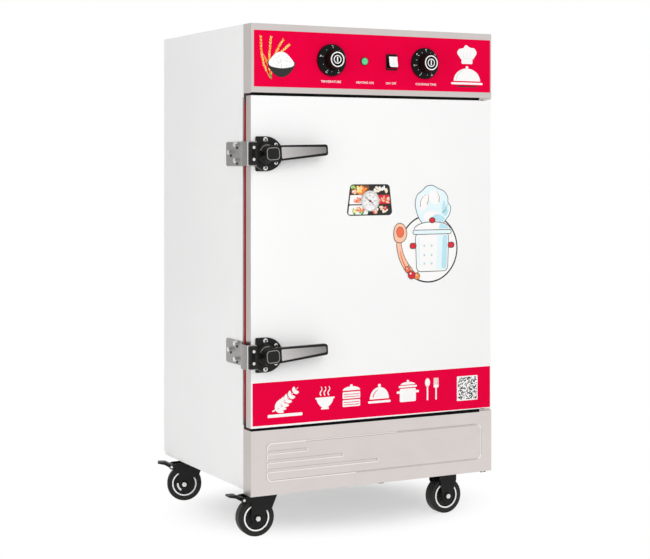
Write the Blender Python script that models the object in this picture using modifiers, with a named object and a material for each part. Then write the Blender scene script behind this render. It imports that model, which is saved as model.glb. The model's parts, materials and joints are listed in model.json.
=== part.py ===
# Rice steamer cabinet: a tall insulated box on casters, with a control head, a hinged door
# held by two lever latches, trays on runners over a heated water tank, and a pressed base panel.
# Units are metres. +Z is up, the door faces -Y, and the floor is at z = 0.
# Inside the cabinet's own frame x = 0 is the middle of the width and y = 0 is the door's face.

import math

import bmesh
import bpy
from mathutils import Matrix, Vector

# Overall sizes
WIDTH = 0.700
DEPTH = 0.565
HEAD_HEIGHT = 0.170
DOOR_HEIGHT = 0.810
BASE_HEIGHT = 0.160
DOOR_GAP = 0.006
FRONT_DEPTH = 0.044
CASTER_HEIGHT = 0.107

# Sheet metal, and the gap kept between pieces that touch
SHEET = 0.0015
CHASSIS_SHEET = 0.0025
FIT = 0.0003
OVERRUN = 0.002
WELD = 0.00001

# Heights that follow from them
BASE_Z = CASTER_HEIGHT
BASE_TOP = BASE_Z + BASE_HEIGHT
DOOR_Z = BASE_TOP + DOOR_GAP
DOOR_TOP = DOOR_Z + DOOR_HEIGHT
HEAD_Z = DOOR_TOP + DOOR_GAP
TOP_Z = HEAD_Z + HEAD_HEIGHT
HALF = WIDTH / 2

# Casing
SIDE_FLANGE = 0.020
SIDE_LIFT = 0.018
TOP_FLANGE = 0.025
FRAME_RETURN = 0.025
CHASSIS_LIFT = 0.010
CHASSIS_FLANGE = 0.024
INNER_HALF = HALF - SHEET - FIT
CHASSIS_Z = BASE_Z + CHASSIS_LIFT
CHASSIS_TOP = CHASSIS_Z + CHASSIS_FLANGE
BACK_Y = DEPTH - SHEET
REAR_FLANGE_Y = BACK_Y - FIT - SHEET
INNER_BACK = REAR_FLANGE_Y - FIT
FRAME_TOP = TOP_Z - TOP_FLANGE - FIT
FRAME_BACK = FRONT_DEPTH + SHEET

# Louvres in the back sheet behind the control head
LOUVRE_COUNT = 6
LOUVRE_ROWS = 2
LOUVRE_WIDTH = 0.070
LOUVRE_HEIGHT = 0.006
LOUVRE_PITCH = 0.095
LOUVRE_ROW_PITCH = 0.022
LOUVRE_DROP = 0.060

# Chamber, its insulation and the water tank under it
SIDE_INSULATION = 0.038
BACK_INSULATION = 0.060
TOP_INSULATION = 0.035
DOOR_LAP = 0.045
LINER_SHEET = 0.0012
TANK_DEPTH = 0.135
LINER_HALF = HALF - SHEET - SIDE_INSULATION
LINER_BACK = INNER_BACK - BACK_INSULATION
MOUTH_Z = DOOR_Z + DOOR_LAP
MOUTH_TOP = DOOR_TOP - DOOR_LAP
TANK_Z = MOUTH_Z - TANK_DEPTH
CHAMBER_HALF = LINER_HALF - LINER_SHEET
CHAMBER_BACK = LINER_BACK - LINER_SHEET
CHAMBER_TOP = MOUTH_TOP - LINER_SHEET
WINDOW_INSET = 0.060
WINDOW_RIM = 0.015

# Tray racks and trays
TRAYS = 6
RACK_MARGIN = 0.012
UPRIGHT_WIDTH = 0.020
UPRIGHT_THICK = 0.003
RUNNER_THICK = 0.0015
RUNNER_LEG = 0.020
RUNNER_DROP = 0.015
TRAY_REAR_GAP = 0.0244
TRAY_HEIGHT = 0.048
TRAY_SHEET = 0.0010
TRAY_RIM = 0.008
TRAY_CORNER = 0.025
TRAY_TAPER = 0.006
TRAY_SIDE_GAP = 0.0035
TRAY_FRONT_GAP = 0.030
RACK_Z = MOUTH_Z + RACK_MARGIN
RACK_TOP = CHAMBER_TOP - RACK_MARGIN
TRAY_PITCH = (RACK_TOP - RACK_Z) / TRAYS
UPRIGHT_FACE = CHAMBER_HALF - FIT - UPRIGHT_THICK
RUNNER_FACE = UPRIGHT_FACE - RUNNER_THICK
TRAY_HALF = RUNNER_FACE - TRAY_SIDE_GAP
TRAY_Y = FRAME_BACK + FIT + TRAY_FRONT_GAP
TRAY_DEPTH = CHAMBER_BACK - TRAY_REAR_GAP - TRAY_Y

# Heating element
HEATER_RADIUS = 0.005
HEATER_RISE = 0.030
HEATER_PITCH = 0.100
HEATER_RUNS = 4
HEATER_REAR_GAP = 0.060
HEATER_TAIL = 0.020
HEATER_NUT_SHARE = 2.2
HEATER_NUT_LENGTH = 0.007

# Float valve
FLOAT_INSET = 0.120
FLOAT_RISE = 0.100
FLOAT_ARM_LENGTH = 0.100
FLOAT_BALL_RADIUS = 0.025
FLOAT_DROOP = math.radians(25)
FLOAT_ROD_RADIUS = 0.003
SHANK_RADIUS = 0.010
SHANK_REACH = 0.020
VALVE_NUT_RADIUS = 0.016
VALVE_NUT_LENGTH = 0.008
VALVE_LENGTH = 0.030
VALVE_WIDTH = 0.026
VALVE_SLOT = 0.008
VALVE_PIN_RADIUS = 0.002
EYE_SHARE = 2.0
FLOAT_X = HALF - FLOAT_INSET

# Drain valve
DRAIN_INSET = 0.196
DRAIN_Y = 0.250
DRAIN_DROP = 0.059
DRAIN_PIPE_RADIUS = 0.0105
DRAIN_BORE_RADIUS = 0.0065
DRAIN_FLANGE_RADIUS = 0.018
DRAIN_FLANGE_THICK = 0.003
DRAIN_BODY_RADIUS = 0.016
DRAIN_BODY_HALF = 0.016
DRAIN_STEM_RADIUS = 0.003
DRAIN_LEVER_LENGTH = 0.060
DRAIN_LEVER_WIDTH = 0.011
DRAIN_LEVER_THICK = 0.003
DRAIN_NOZZLE = 0.020
DRAIN_X = HALF - DRAIN_INSET

# Cable gland in the back sheet
GLAND_INSET = 0.100
GLAND_DROP = 0.110
GLAND_RADIUS = 0.014
GLAND_NECK = 0.009
GLAND_REACH = 0.020
GLAND_NUT = 0.006
GLAND_BORE = 0.005
GLAND_DOME_SHARE = 0.72
GLAND_SHOULDER_SHARE = 0.6
GLAND_X = -HALF + GLAND_INSET

# Controls on the head
CONTROL_DROP = 0.084
THERMOSTAT_X = -0.130
TIMER_X = 0.142
LAMP_X = -0.035
SWITCH_X = 0.044
KNOB_RADIUS = 0.040
KNOB_SKIRT = 0.006
KNOB_GRIP_RADIUS = 0.0255
KNOB_CAP_RADIUS = 0.0215
KNOB_REACH = 0.035
KNOB_SLOPE = 0.006
KNOB_STANDOFF = 0.0010
SPINDLE_RADIUS = 0.003
SPINDLE_LENGTH = 0.018
CONTROL_BODY = 0.058
CONTROL_BODY_DEPTH = 0.036
CONTROL_BODY_EDGE = 0.0035
LAMP_RADIUS = 0.0105
LAMP_REACH = 0.008
LAMP_NECK = 0.0075
LAMP_NUT = 0.011
LAMP_NUT_THICK = 0.004
LAMP_LENGTH = 0.024
LAMP_DOME_SHARES = ((0.55, 0.93), (0.88, 0.66), (1.0, 0.3))
SWITCH_WIDTH = 0.032
SWITCH_HEIGHT = 0.041
BEZEL_THICK = 0.0025
SWITCH_NECK_INSET = 0.002
SWITCH_WALL = 0.0015
SWITCH_DEPTH = 0.022
ROCKER_POCKET = 0.009
ROCKER_REACH = 0.013
ROCKER_DIP = 0.0115
ROCKER_TILT = math.radians(-10)
ROCKER_END_GAP = 0.0015

# Pressed pattern in the base panel
PRESS_HEIGHT = 0.0015
PRESS_LEFT = 0.043
PRESS_RIGHT = 0.036
PRESS_TOP = 0.034
PRESS_FOOT = 0.034
PRESS_CORNER = 0.012
GROOVE_WIDTH = 0.008
GROOVES = 3
GROOVE_PITCH = 0.022
GROOVE_STEP = 0.101
GROOVE_FIRST = 0.107

# Door
DOOR_THICK = 0.028
DOOR_RIGHT_INSET = 0.003
SKIN = 0.0008
GASKET_INSET = 0.003
PLATEAU_INSET = 0.042
PLATEAU_RISE = 0.008
DOOR_RIGHT = HALF - DOOR_RIGHT_INSET
GASKET_RADIUS = (FRONT_DEPTH - DOOR_THICK) / 2 - FIT
GASKET_LINE = GASKET_INSET + GASKET_RADIUS
GASKET_CORNER = 0.020
HINGE_X = DOOR_RIGHT - GASKET_LINE
HINGE_Y = DOOR_THICK / 2

# Pivot hinges
LEAF_WIDTH = 0.036
LEAF_FRONT = 0.004
LEAF_THICK = 0.003
PIN_RADIUS = 0.004
PIN_LENGTH = 0.014
COLLAR_RADIUS = 0.009

# Lever latches and their strikes
LATCH_INSET = 0.038
LATCH_DROP = 0.142
LATCH_RISE = 0.178
LATCH_BASE_RADIUS = 0.0425
LATCH_FLAT = 0.027
LATCH_BASE_CORNER = 0.0035
LATCH_BASE_THICK = 0.004
LATCH_BASE_EDGE = 0.001
HUB_RADIUS = 0.027
HUB_NECK = 0.018
HUB_FRONT = 0.030
LATCH_PIN_RADIUS = 0.005
LEVER_FRONT = 0.045
LEVER_THICK = 0.012
LEVER_LENGTH = 0.150
LEVER_ROOT = 0.036
LEVER_TIP = 0.025
LEVER_BLOCK = 0.018
LEVER_BLOCK_CORNER = 0.006
LEVER_TIP_CORNER = 0.006
LEVER_TILT = math.radians(3.8)
LEVER_EDGE = 0.003
TONGUE_LENGTH = 0.0372
TONGUE_WIDTH = 0.016
TONGUE_BACK = 0.008
TONGUE_THICK = 0.012
STRIKE_REACH = 0.027
STRIKE_SHEET = 0.002
STRIKE_HEIGHT = 0.060
STRIKE_REAR = 0.142
STRIKE_BEND = 0.050
STRIKE_JOGGLE = 0.050
STRIKE_FRONT = 0.036
STRIKE_CORNER = 0.006
STRIKE_FOLD = 0.004
ROUND_PROFILE = 0.5
PAD_THICK = 0.0055
PAD_INSET = 0.0045
PAD_HEIGHT = 0.055
PAD_EDGE = 0.0012
EDGE_GAP = 0.0015

# Dial thermometer
DIAL_X = -0.020
DIAL_DROP = 0.260
DIAL_RADIUS = 0.0265
DIAL_REACH = 0.0068
DIAL_WALL = 0.0025
DIAL_RECESS = 0.004
STEM_RADIUS = 0.004
STEM_END = 0.062
NEEDLE_LENGTH = 0.0175
NEEDLE_TAIL = 0.0105
NEEDLE_TIP_WIDTH = 0.0010
NEEDLE_TAIL_WIDTH = 0.0026
NEEDLE_THICK = 0.0008
NEEDLE_HUB = 0.003
NEEDLE_REST = math.radians(57)

# Casters: two that swivel and brake on the left, two fixed on the right
WHEEL_RADIUS = 0.0465
WHEEL_WIDTH = 0.030
WHEEL_STEPS = 24
TREAD_CROWN = 0.0015
DISC_RECESS = 0.004
RIM_RADIUS = 0.035
HUB_BOSS_RADIUS = 0.013
HUB_BOSS_PROUD = 0.001
AXLE_RADIUS = 0.004
AXLE_GAP = 0.0004
FORK_GAP = 0.0025
FORK_SHEET = 0.003
FORK_WIDTH = 0.048
FORK_FOOT_RADIUS = 0.0155
FORK_HEAD_THICK = 0.005
NUT_RADIUS = 0.0065
NUT_LENGTH = 0.0055
PLATE_THICK = 0.004
PLATE_LENGTH = 0.072
PLATE_WIDTH = 0.062
RACE_RADIUS = 0.025
RACE_THICK = 0.007
KINGPIN_RADIUS = 0.006
TRAIL = 0.016
SWIVEL_INSET = 0.050
FIXED_INSET = 0.119
CASTER_FRONT = 0.050
CASTER_REAR = 0.066
FRONT_SWIVEL_TURN = math.radians(175)
REAR_SWIVEL_TURN = math.radians(158)
PEDAL_PIVOT_OUT = 0.050
PEDAL_PIVOT_DROP = 0.012
PEDAL_REACH = 0.088
PEDAL_WIDTH = 0.026
PEDAL_THICK = 0.004
PEDAL_TOP_GAP = 0.0015
PEDAL_PIN_RADIUS = 0.0028
PEDAL_EAR_RADIUS = 0.007
PEDAL_EYE_WALL = 0.003
PEDAL_KNEE_SHARE = 0.5

# How many flats stand for a round
ROUND_STEPS = 24
MIDDLE_STEPS = 20
SMALL_STEPS = 12
BALL_STEPS = 16
HEX = 6
FLAT_ANGLE = math.radians(0.5)


# Scene, collections and materials
for old in list(bpy.data.objects):
    bpy.data.objects.remove(old, do_unlink=True)
model = bpy.data.collections.new("rice_steamer_cabinet")
cutters = bpy.data.collections.new("cutters")
bpy.context.scene.collection.children.link(model)
bpy.context.scene.collection.children.link(cutters)


def finish(name, colour, roughness, metallic=0.0):
    made = bpy.data.materials.new(name)
    made.use_nodes = True
    shader = made.node_tree.nodes["Principled BSDF"]
    shader.inputs["Base Color"].default_value = (*colour, 1.0)
    shader.inputs["Roughness"].default_value = roughness
    shader.inputs["Metallic"].default_value = metallic
    made.diffuse_color = (*colour, 1.0)
    return made


WHITE_ENAMEL = finish("white_enamel", (0.80, 0.80, 0.80), 0.35)
STAINLESS = finish("brushed_stainless", (0.62, 0.60, 0.58), 0.32, 1.0)
BLACK_NYLON = finish("black_nylon", (0.02, 0.02, 0.02), 0.45)
BLACK_PAINT = finish("black_paint", (0.015, 0.015, 0.015), 0.40)
BLACK_RUBBER = finish("black_rubber", (0.025, 0.025, 0.025), 0.60)
RED_SILICONE = finish("red_silicone", (0.60, 0.01, 0.03), 0.50)
FOAM = finish("insulating_foam", (0.75, 0.68, 0.45), 0.85)
GREEN_LENS = finish("green_lens", (0.02, 0.45, 0.18), 0.15)
WHITE_PLASTIC = finish("white_plastic", (0.85, 0.85, 0.84), 0.30)
BRASS = finish("brass", (0.70, 0.50, 0.20), 0.30, 1.0)
RED_PAINT = finish("red_paint", (0.70, 0.02, 0.02), 0.40)


def add_empty(name, place, parent=None, turn=0.0):
    made = bpy.data.objects.new(name, None)
    model.objects.link(made)
    made.location = place
    made.rotation_euler = (0.0, 0.0, turn)
    keep_in_cabinet_frame(made, parent)
    return made


def keep_in_cabinet_frame(piece, parent):
    # The piece's own place stays written in the cabinet's frame, whatever carries it.
    piece.parent = parent
    if parent is not None and parent.parent is not None:
        piece.matrix_parent_inverse = parent.matrix_basis.inverted()


def place(name, data, material, parent, spot=(0.0, 0.0, 0.0), turn=(0.0, 0.0, 0.0)):
    made = bpy.data.objects.new(name, data)
    made.location = spot
    made.rotation_euler = turn
    if material is None:
        cutters.objects.link(made)
        made.hide_render = True
        made.display_type = "WIRE"
    else:
        model.objects.link(made)
        data.materials.append(material)
    if parent in local_frames:
        made.parent = parent
    else:
        keep_in_cabinet_frame(made, parent)
    return made


# The body is moved so that the floor point under the middle of the whole bounding box is (0, 0, 0).
LEFT_REACH = HALF - SWIVEL_INSET + PEDAL_REACH
SHIFT_X = (LEFT_REACH - HALF) / 2
SHIFT_Y = -(DEPTH + max(GLAND_REACH, SHANK_REACH) - LEVER_FRONT) / 2
cabinet = add_empty("cabinet_frame", (SHIFT_X, SHIFT_Y, 0.0))
local_frames = []


def mesh_from(shape, name):
    bmesh.ops.recalc_face_normals(shape, faces=shape.faces)
    data = bpy.data.meshes.new(name)
    shape.to_mesh(data)
    shape.free()
    return data


def middle(low, high):
    return (Vector(low) + Vector(high)) / 2


def block(name, low, high, material, parent=cabinet):
    centre = middle(low, high)
    shape = bmesh.new()
    bmesh.ops.create_cube(shape, size=1.0)
    bmesh.ops.scale(shape, vec=Vector(high) - Vector(low), verts=shape.verts)
    return place(name, mesh_from(shape, name), material, parent, centre)


def folded_box(name, low, high, open_sides, sheet, material, parent=cabinet):
    # Sheet metal: the open sides of a box are left out and the rest is given its thickness inwards.
    centre = middle(low, high)
    shape = bmesh.new()
    bmesh.ops.create_cube(shape, size=1.0)
    gone = []
    for face in shape.faces:
        axis = max(range(3), key=lambda i: abs(face.normal[i]))
        side = ("-" if face.normal[axis] < 0 else "+") + "xyz"[axis]
        if side in open_sides:
            gone.append(face)
    bmesh.ops.delete(shape, geom=gone, context="FACES")
    bmesh.ops.scale(shape, vec=Vector(high) - Vector(low), verts=shape.verts)
    data = bpy.data.meshes.new(name)
    shape.to_mesh(data)
    shape.free()
    made = place(name, data, material, parent, centre)
    thicken(made, sheet)
    return made


def thicken(piece, sheet):
    shell = piece.modifiers.new("sheet", "SOLIDIFY")
    shell.thickness = sheet
    shell.offset = -1.0
    shell.use_even_offset = True


def soften(piece, width, segments=2, angle=math.radians(40)):
    edge = piece.modifiers.new("edge", "BEVEL")
    edge.width = width
    edge.segments = segments
    edge.limit_method = "ANGLE"
    edge.angle_limit = angle
    edge.use_clamp_overlap = True


def cut(piece, tool):
    change = piece.modifiers.new("cut", "BOOLEAN")
    change.operation = "DIFFERENCE"
    change.solver = "EXACT"
    change.object = tool


def fuse(piece, other):
    change = piece.modifiers.new("fuse", "BOOLEAN")
    change.operation = "UNION"
    change.solver = "EXACT"
    change.object = other


def turned(name, profile, material, parent, spot, axis="z", steps=ROUND_STEPS, ring=False):
    # The profile holds (radius, height) pairs from the top down its outer side.
    data = bpy.data.meshes.new(name)
    points = [(radius, 0.0, height) for radius, height in profile]
    edges = [(i, i + 1) for i in range(len(points) - 1)]
    if ring:
        edges.append((len(points) - 1, 0))
    data.from_pydata(points, edges, [])
    turns = {"z": (0.0, 0.0, 0.0), "-y": (math.pi / 2, 0.0, 0.0), "y": (-math.pi / 2, 0.0, 0.0)}
    made = place(name, data, material, parent, spot, turns[axis])
    spin = made.modifiers.new("turn", "SCREW")
    spin.steps = steps
    spin.render_steps = steps
    spin.use_merge_vertices = True
    spin.merge_threshold = WELD
    spin.use_smooth_shade = True
    return made


def rod(name, radius, low, high, material, parent, spot, axis="z", steps=SMALL_STEPS):
    profile = [(0.0, high), (radius, high), (radius, low), (0.0, low)]
    return turned(name, profile, material, parent, spot, axis, steps)


def curve_mesh(name, curve):
    # Turns a curve into a welded mesh, so that it can be cut and joined.
    holder = bpy.data.objects.new(name, curve)
    bpy.context.scene.collection.objects.link(holder)
    evaluated = holder.evaluated_get(bpy.context.evaluated_depsgraph_get())
    data = bpy.data.meshes.new_from_object(evaluated)
    bpy.data.objects.remove(holder, do_unlink=True)
    shape = bmesh.new()
    shape.from_mesh(data)
    bmesh.ops.remove_doubles(shape, verts=shape.verts, dist=WELD)
    bmesh.ops.dissolve_limit(shape, angle_limit=FLAT_ANGLE, verts=shape.verts, edges=shape.edges)
    bpy.data.meshes.remove(data)
    return mesh_from(shape, name)


def plate(name, outline, thickness, material, parent, spot, turn=(0.0, 0.0, 0.0)):
    # A flat outline in x and y, made as thick as the plate around its own plane.
    curve = bpy.data.curves.new(name, "CURVE")
    curve.dimensions = "2D"
    curve.fill_mode = "BOTH"
    curve.extrude = thickness / 2
    line = curve.splines.new("POLY")
    line.points.add(len(outline) - 1)
    for point, (x, y) in zip(line.points, outline):
        point.co = (x, y, 0.0, 1.0)
    line.use_cyclic_u = True
    return place(name, curve_mesh(name, curve), material, parent, spot, turn)


def tube(name, route, radius, material, parent, closed=False, sides=2, swell=None):
    # The swell gives each point its share of the radius, for nuts and collars on the tube.
    curve = bpy.data.curves.new(name, "CURVE")
    curve.dimensions = "3D"
    curve.bevel_depth = radius
    curve.bevel_resolution = sides
    curve.use_fill_caps = not closed
    line = curve.splines.new("POLY")
    line.points.add(len(route) - 1)
    for number, spot in enumerate(route):
        line.points[number].co = (*spot, 1.0)
        line.points[number].radius = 1.0 if swell is None else swell[number]
    line.use_cyclic_u = closed
    return place(name, curve_mesh(name, curve), material, parent)


def arc(centre, radius, start, end, steps):
    points = []
    for i in range(steps + 1):
        angle = math.radians(start + (end - start) * i / steps)
        points.append((centre[0] + radius * math.cos(angle), centre[1] + radius * math.sin(angle)))
    return points


def rounded_rectangle(left, right, foot, top, radius, steps=5):
    points = arc((right - radius, top - radius), radius, 0, 90, steps)
    points += arc((left + radius, top - radius), radius, 90, 180, steps)
    points += arc((left + radius, foot + radius), radius, 180, 270, steps)
    points += arc((right - radius, foot + radius), radius, 270, 360, steps)
    return points


STANDING = (math.pi / 2, 0.0, 0.0)
ACROSS = (0.0, math.pi / 2, 0.0)


def make_side(name, side):
    outer = side * HALF
    inner = side * (HALF - SIDE_FLANGE)
    low = (min(outer, inner), FRONT_DEPTH, BASE_Z + SIDE_LIFT)
    high = (max(outer, inner), REAR_FLANGE_Y + SHEET, TOP_Z)
    inward = "+x" if side < 0 else "-x"
    return folded_box(name, low, high, (inward, "-z", "+z", "-y"), SHEET, WHITE_ENAMEL)


def make_casing():
    make_side("side_panel_left", -1)
    make_side("side_panel_right", 1)
    low = (-INNER_HALF, FRONT_DEPTH + FIT, TOP_Z - TOP_FLANGE)
    high = (INNER_HALF, INNER_BACK, TOP_Z)
    folded_box("top_panel", low, high, ("-z",), SHEET, WHITE_ENAMEL)
    low = (-INNER_HALF, FRONT_DEPTH + FIT, CHASSIS_Z)
    high = (INNER_HALF, INNER_BACK, CHASSIS_TOP)
    chassis = folded_box("chassis", low, high, ("+z",), CHASSIS_SHEET, WHITE_ENAMEL)
    reach = CHASSIS_SHEET + OVERRUN
    radius = DRAIN_PIPE_RADIUS + OVERRUN
    drain = (DRAIN_X, DRAIN_Y, CHASSIS_Z)
    cut(chassis, rod("chassis_drain_hole", radius, -reach, reach, None, cabinet, drain))
    make_back()
    make_front_frame()


def make_back():
    low = (-HALF, BACK_Y, BASE_Z + SIDE_LIFT)
    back = block("back_panel", low, (HALF, DEPTH, TOP_Z), WHITE_ENAMEL)
    reach = SHEET + OVERRUN
    gland_hole = (GLAND_X, BACK_Y, TOP_Z - GLAND_DROP)
    cut(back, rod("gland_hole", GLAND_NECK + FIT, -reach, reach, None, cabinet, gland_hole, "y"))
    inlet_hole = (FLOAT_X, BACK_Y, TANK_Z + FLOAT_RISE)
    cut(back, rod("inlet_hole", SHANK_RADIUS + FIT, -reach, reach, None, cabinet, inlet_hole, "y"))
    first = -LOUVRE_PITCH * (LOUVRE_COUNT - 1) / 2
    for row in range(LOUVRE_ROWS):
        for column in range(LOUVRE_COUNT):
            x = first + LOUVRE_PITCH * column
            z = TOP_Z - LOUVRE_DROP - LOUVRE_ROW_PITCH * row
            low = (x - LOUVRE_WIDTH / 2, BACK_Y - OVERRUN, z - LOUVRE_HEIGHT / 2)
            high = (x + LOUVRE_WIDTH / 2, DEPTH + OVERRUN, z + LOUVRE_HEIGHT / 2)
            cut(back, block(f"louvre_slot_{row}_{column}", low, high, None))


def make_front_frame():
    low = (-INNER_HALF, FRONT_DEPTH, CHASSIS_TOP + FIT)
    high = (INNER_HALF, FRONT_DEPTH + FRAME_RETURN, FRAME_TOP)
    frame = folded_box("front_frame", low, high, ("+y", "-z", "+z"), SHEET, STAINLESS)
    near = FRONT_DEPTH - OVERRUN
    far = FRAME_BACK + OVERRUN
    mouth_low = (-CHAMBER_HALF, near, MOUTH_Z)
    cut(frame, block("mouth", mouth_low, (CHAMBER_HALF, far, CHAMBER_TOP), None))
    window = HALF - WINDOW_INSET
    low = (-window, near, HEAD_Z + WINDOW_RIM)
    cut(frame, block("control_window", low, (window, far, FRAME_TOP - WINDOW_RIM), None))
    low = (-window, near, CHASSIS_TOP + FIT + WINDOW_RIM)
    high = (window, far, TANK_Z + HEATER_RISE + HEATER_RADIUS * HEATER_NUT_SHARE + WINDOW_RIM)
    cut(frame, block("service_window", low, high, None))


def make_chamber():
    low = (-LINER_HALF, FRAME_BACK + FIT, MOUTH_Z)
    high = (LINER_HALF, LINER_BACK, MOUTH_TOP)
    folded_box("chamber_liner", low, high, ("-y", "-z"), LINER_SHEET, STAINLESS)
    low = (-LINER_HALF, FRAME_BACK + FIT, TANK_Z)
    high = (LINER_HALF, LINER_BACK, MOUTH_Z - FIT)
    tank = folded_box("water_tank", low, high, ("+z",), LINER_SHEET, STAINLESS)
    reach = LINER_SHEET + OVERRUN
    drain = (DRAIN_X, DRAIN_Y, TANK_Z)
    cut(tank, rod("tank_drain_hole", DRAIN_PIPE_RADIUS + FIT, -reach, reach, None, cabinet, drain))
    inlet = (FLOAT_X, LINER_BACK, TANK_Z + FLOAT_RISE)
    cut(tank, rod("tank_inlet_hole", SHANK_RADIUS + FIT, -reach, reach, None, cabinet, inlet, "y"))
    for x in heater_ends():
        spot = (x, FRAME_BACK + FIT, TANK_Z + HEATER_RISE)
        cut(tank, rod("heater_hole", HEATER_RADIUS + FIT, -reach, reach, None, cabinet, spot, "y"))
    low = (-INNER_HALF, FRONT_DEPTH + FRAME_RETURN + FIT, CHASSIS_TOP + FIT)
    high = (INNER_HALF, INNER_BACK - FIT, MOUTH_TOP + TOP_INSULATION)
    foam = block("insulation", low, high, FOAM)
    low = (-LINER_HALF - FIT, FRONT_DEPTH, BASE_Z)
    high = (LINER_HALF + FIT, LINER_BACK + FIT, MOUTH_TOP + FIT)
    cut(foam, block("insulation_hollow", low, high, None))
    radius = SHANK_RADIUS + FIT
    reach = BACK_INSULATION + OVERRUN
    cut(foam, rod("insulation_inlet_hole", radius, -reach, reach, None, cabinet, inlet, "y"))


def make_rack(name, side):
    # Two uprights hold one angle runner for each tray.
    front = TRAY_Y + UPRIGHT_WIDTH
    rear = TRAY_Y + TRAY_DEPTH - 2 * UPRIGHT_WIDTH
    wall = CHAMBER_HALF - FIT
    rack = None
    for number, y in enumerate((front, rear)):
        low = (min(side * wall, side * UPRIGHT_FACE), y, RACK_Z)
        high = (max(side * wall, side * UPRIGHT_FACE), y + UPRIGHT_WIDTH, RACK_TOP)
        if rack is None:
            rack = block(name, low, high, STAINLESS)
        else:
            fuse(rack, block(f"{name}_upright_{number}", low, high, None))
    bite = UPRIGHT_THICK / 2
    for level in range(TRAYS):
        z = runner_top(level)
        outer = side * (UPRIGHT_FACE + bite)
        inner = side * (UPRIGHT_FACE - RUNNER_THICK - RUNNER_LEG)
        low = (min(outer, inner), TRAY_Y, z - RUNNER_DROP)
        high = (max(outer, inner), TRAY_Y + TRAY_DEPTH, z)
        runner = block(f"{name}_runner_{level}", low, high, None)
        under = side * (UPRIGHT_FACE - RUNNER_THICK)
        past = side * (UPRIGHT_FACE - RUNNER_THICK - RUNNER_LEG - OVERRUN)
        low = (min(under, past), TRAY_Y - OVERRUN, z - RUNNER_DROP - OVERRUN)
        high = (max(under, past), TRAY_Y + TRAY_DEPTH + OVERRUN, z - RUNNER_THICK)
        cut(runner, block(f"{name}_runner_space_{level}", low, high, None))
        fuse(rack, runner)


def runner_top(level):
    return RACK_Z + RUNNER_DROP + TRAY_PITCH * level


def make_tray(number):
    # A pressed pan: tapered walls with round corners, and a flat rim turned outwards.
    name = f"tray_{number + 1}"
    foot = runner_top(number) + FIT
    shape = bmesh.new()
    rings = []
    for inset, corner, z in (
        (0.0, TRAY_CORNER + TRAY_RIM, TRAY_HEIGHT),
        (TRAY_RIM, TRAY_CORNER, TRAY_HEIGHT),
        (TRAY_RIM + TRAY_TAPER, TRAY_CORNER, 0.0),
    ):
        x = TRAY_HALF - inset
        y = TRAY_DEPTH / 2 - inset
        outline = rounded_rectangle(-x, x, -y, y, corner, 4)
        rings.append([shape.verts.new((*point, z)) for point in outline])
    for upper, lower in zip(rings, rings[1:]):
        for i in range(len(upper)):
            j = (i + 1) % len(upper)
            shape.faces.new((upper[j], upper[i], lower[i], lower[j]))
    shape.faces.new(list(reversed(rings[-1])))
    data = bpy.data.meshes.new(name)
    shape.to_mesh(data)
    shape.free()
    tray = place(name, data, STAINLESS, cabinet, (0.0, TRAY_Y + TRAY_DEPTH / 2, foot))
    thicken(tray, TRAY_SHEET)


def heater_ends():
    span = HEATER_PITCH * (HEATER_RUNS - 1) / 2
    return (-span, span)


def make_heater():
    # One bent tube lies over the tank floor and leaves through two glands in the front wall.
    near = FRAME_BACK + FIT
    front = near + HEATER_REAR_GAP
    rear = LINER_BACK - HEATER_REAR_GAP
    bend = HEATER_PITCH / 2
    z = TANK_Z + HEATER_RISE
    first, last = heater_ends()
    route = []
    for run in range(HEATER_RUNS - 1):
        x = first + HEATER_PITCH * run + bend
        away = run % 2 == 0
        y = rear if away else front
        turn = arc((x, y), bend, 180, 0 if away else 360, 8)
        route += [(px, py, z) for px, py in turn]
    swell = [1.0] * len(route)
    outer_nut = near - FIT - HEATER_NUT_LENGTH
    inner_nut = near + LINER_SHEET + FIT
    tail = [(near - HEATER_TAIL, 1.0)]
    for start in (outer_nut, inner_nut):
        end = start + HEATER_NUT_LENGTH
        tail += [(start, 1.0), (start + FIT, HEATER_NUT_SHARE), (end - FIT, HEATER_NUT_SHARE), (end, 1.0)]
    route = [(first, y, z) for y, share in tail] + route + [(last, y, z) for y, share in reversed(tail)]
    swell = [share for y, share in tail] + swell + [share for y, share in reversed(tail)]
    tube("heating_element", route, HEATER_RADIUS, STAINLESS, cabinet, sides=1, swell=swell)


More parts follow.
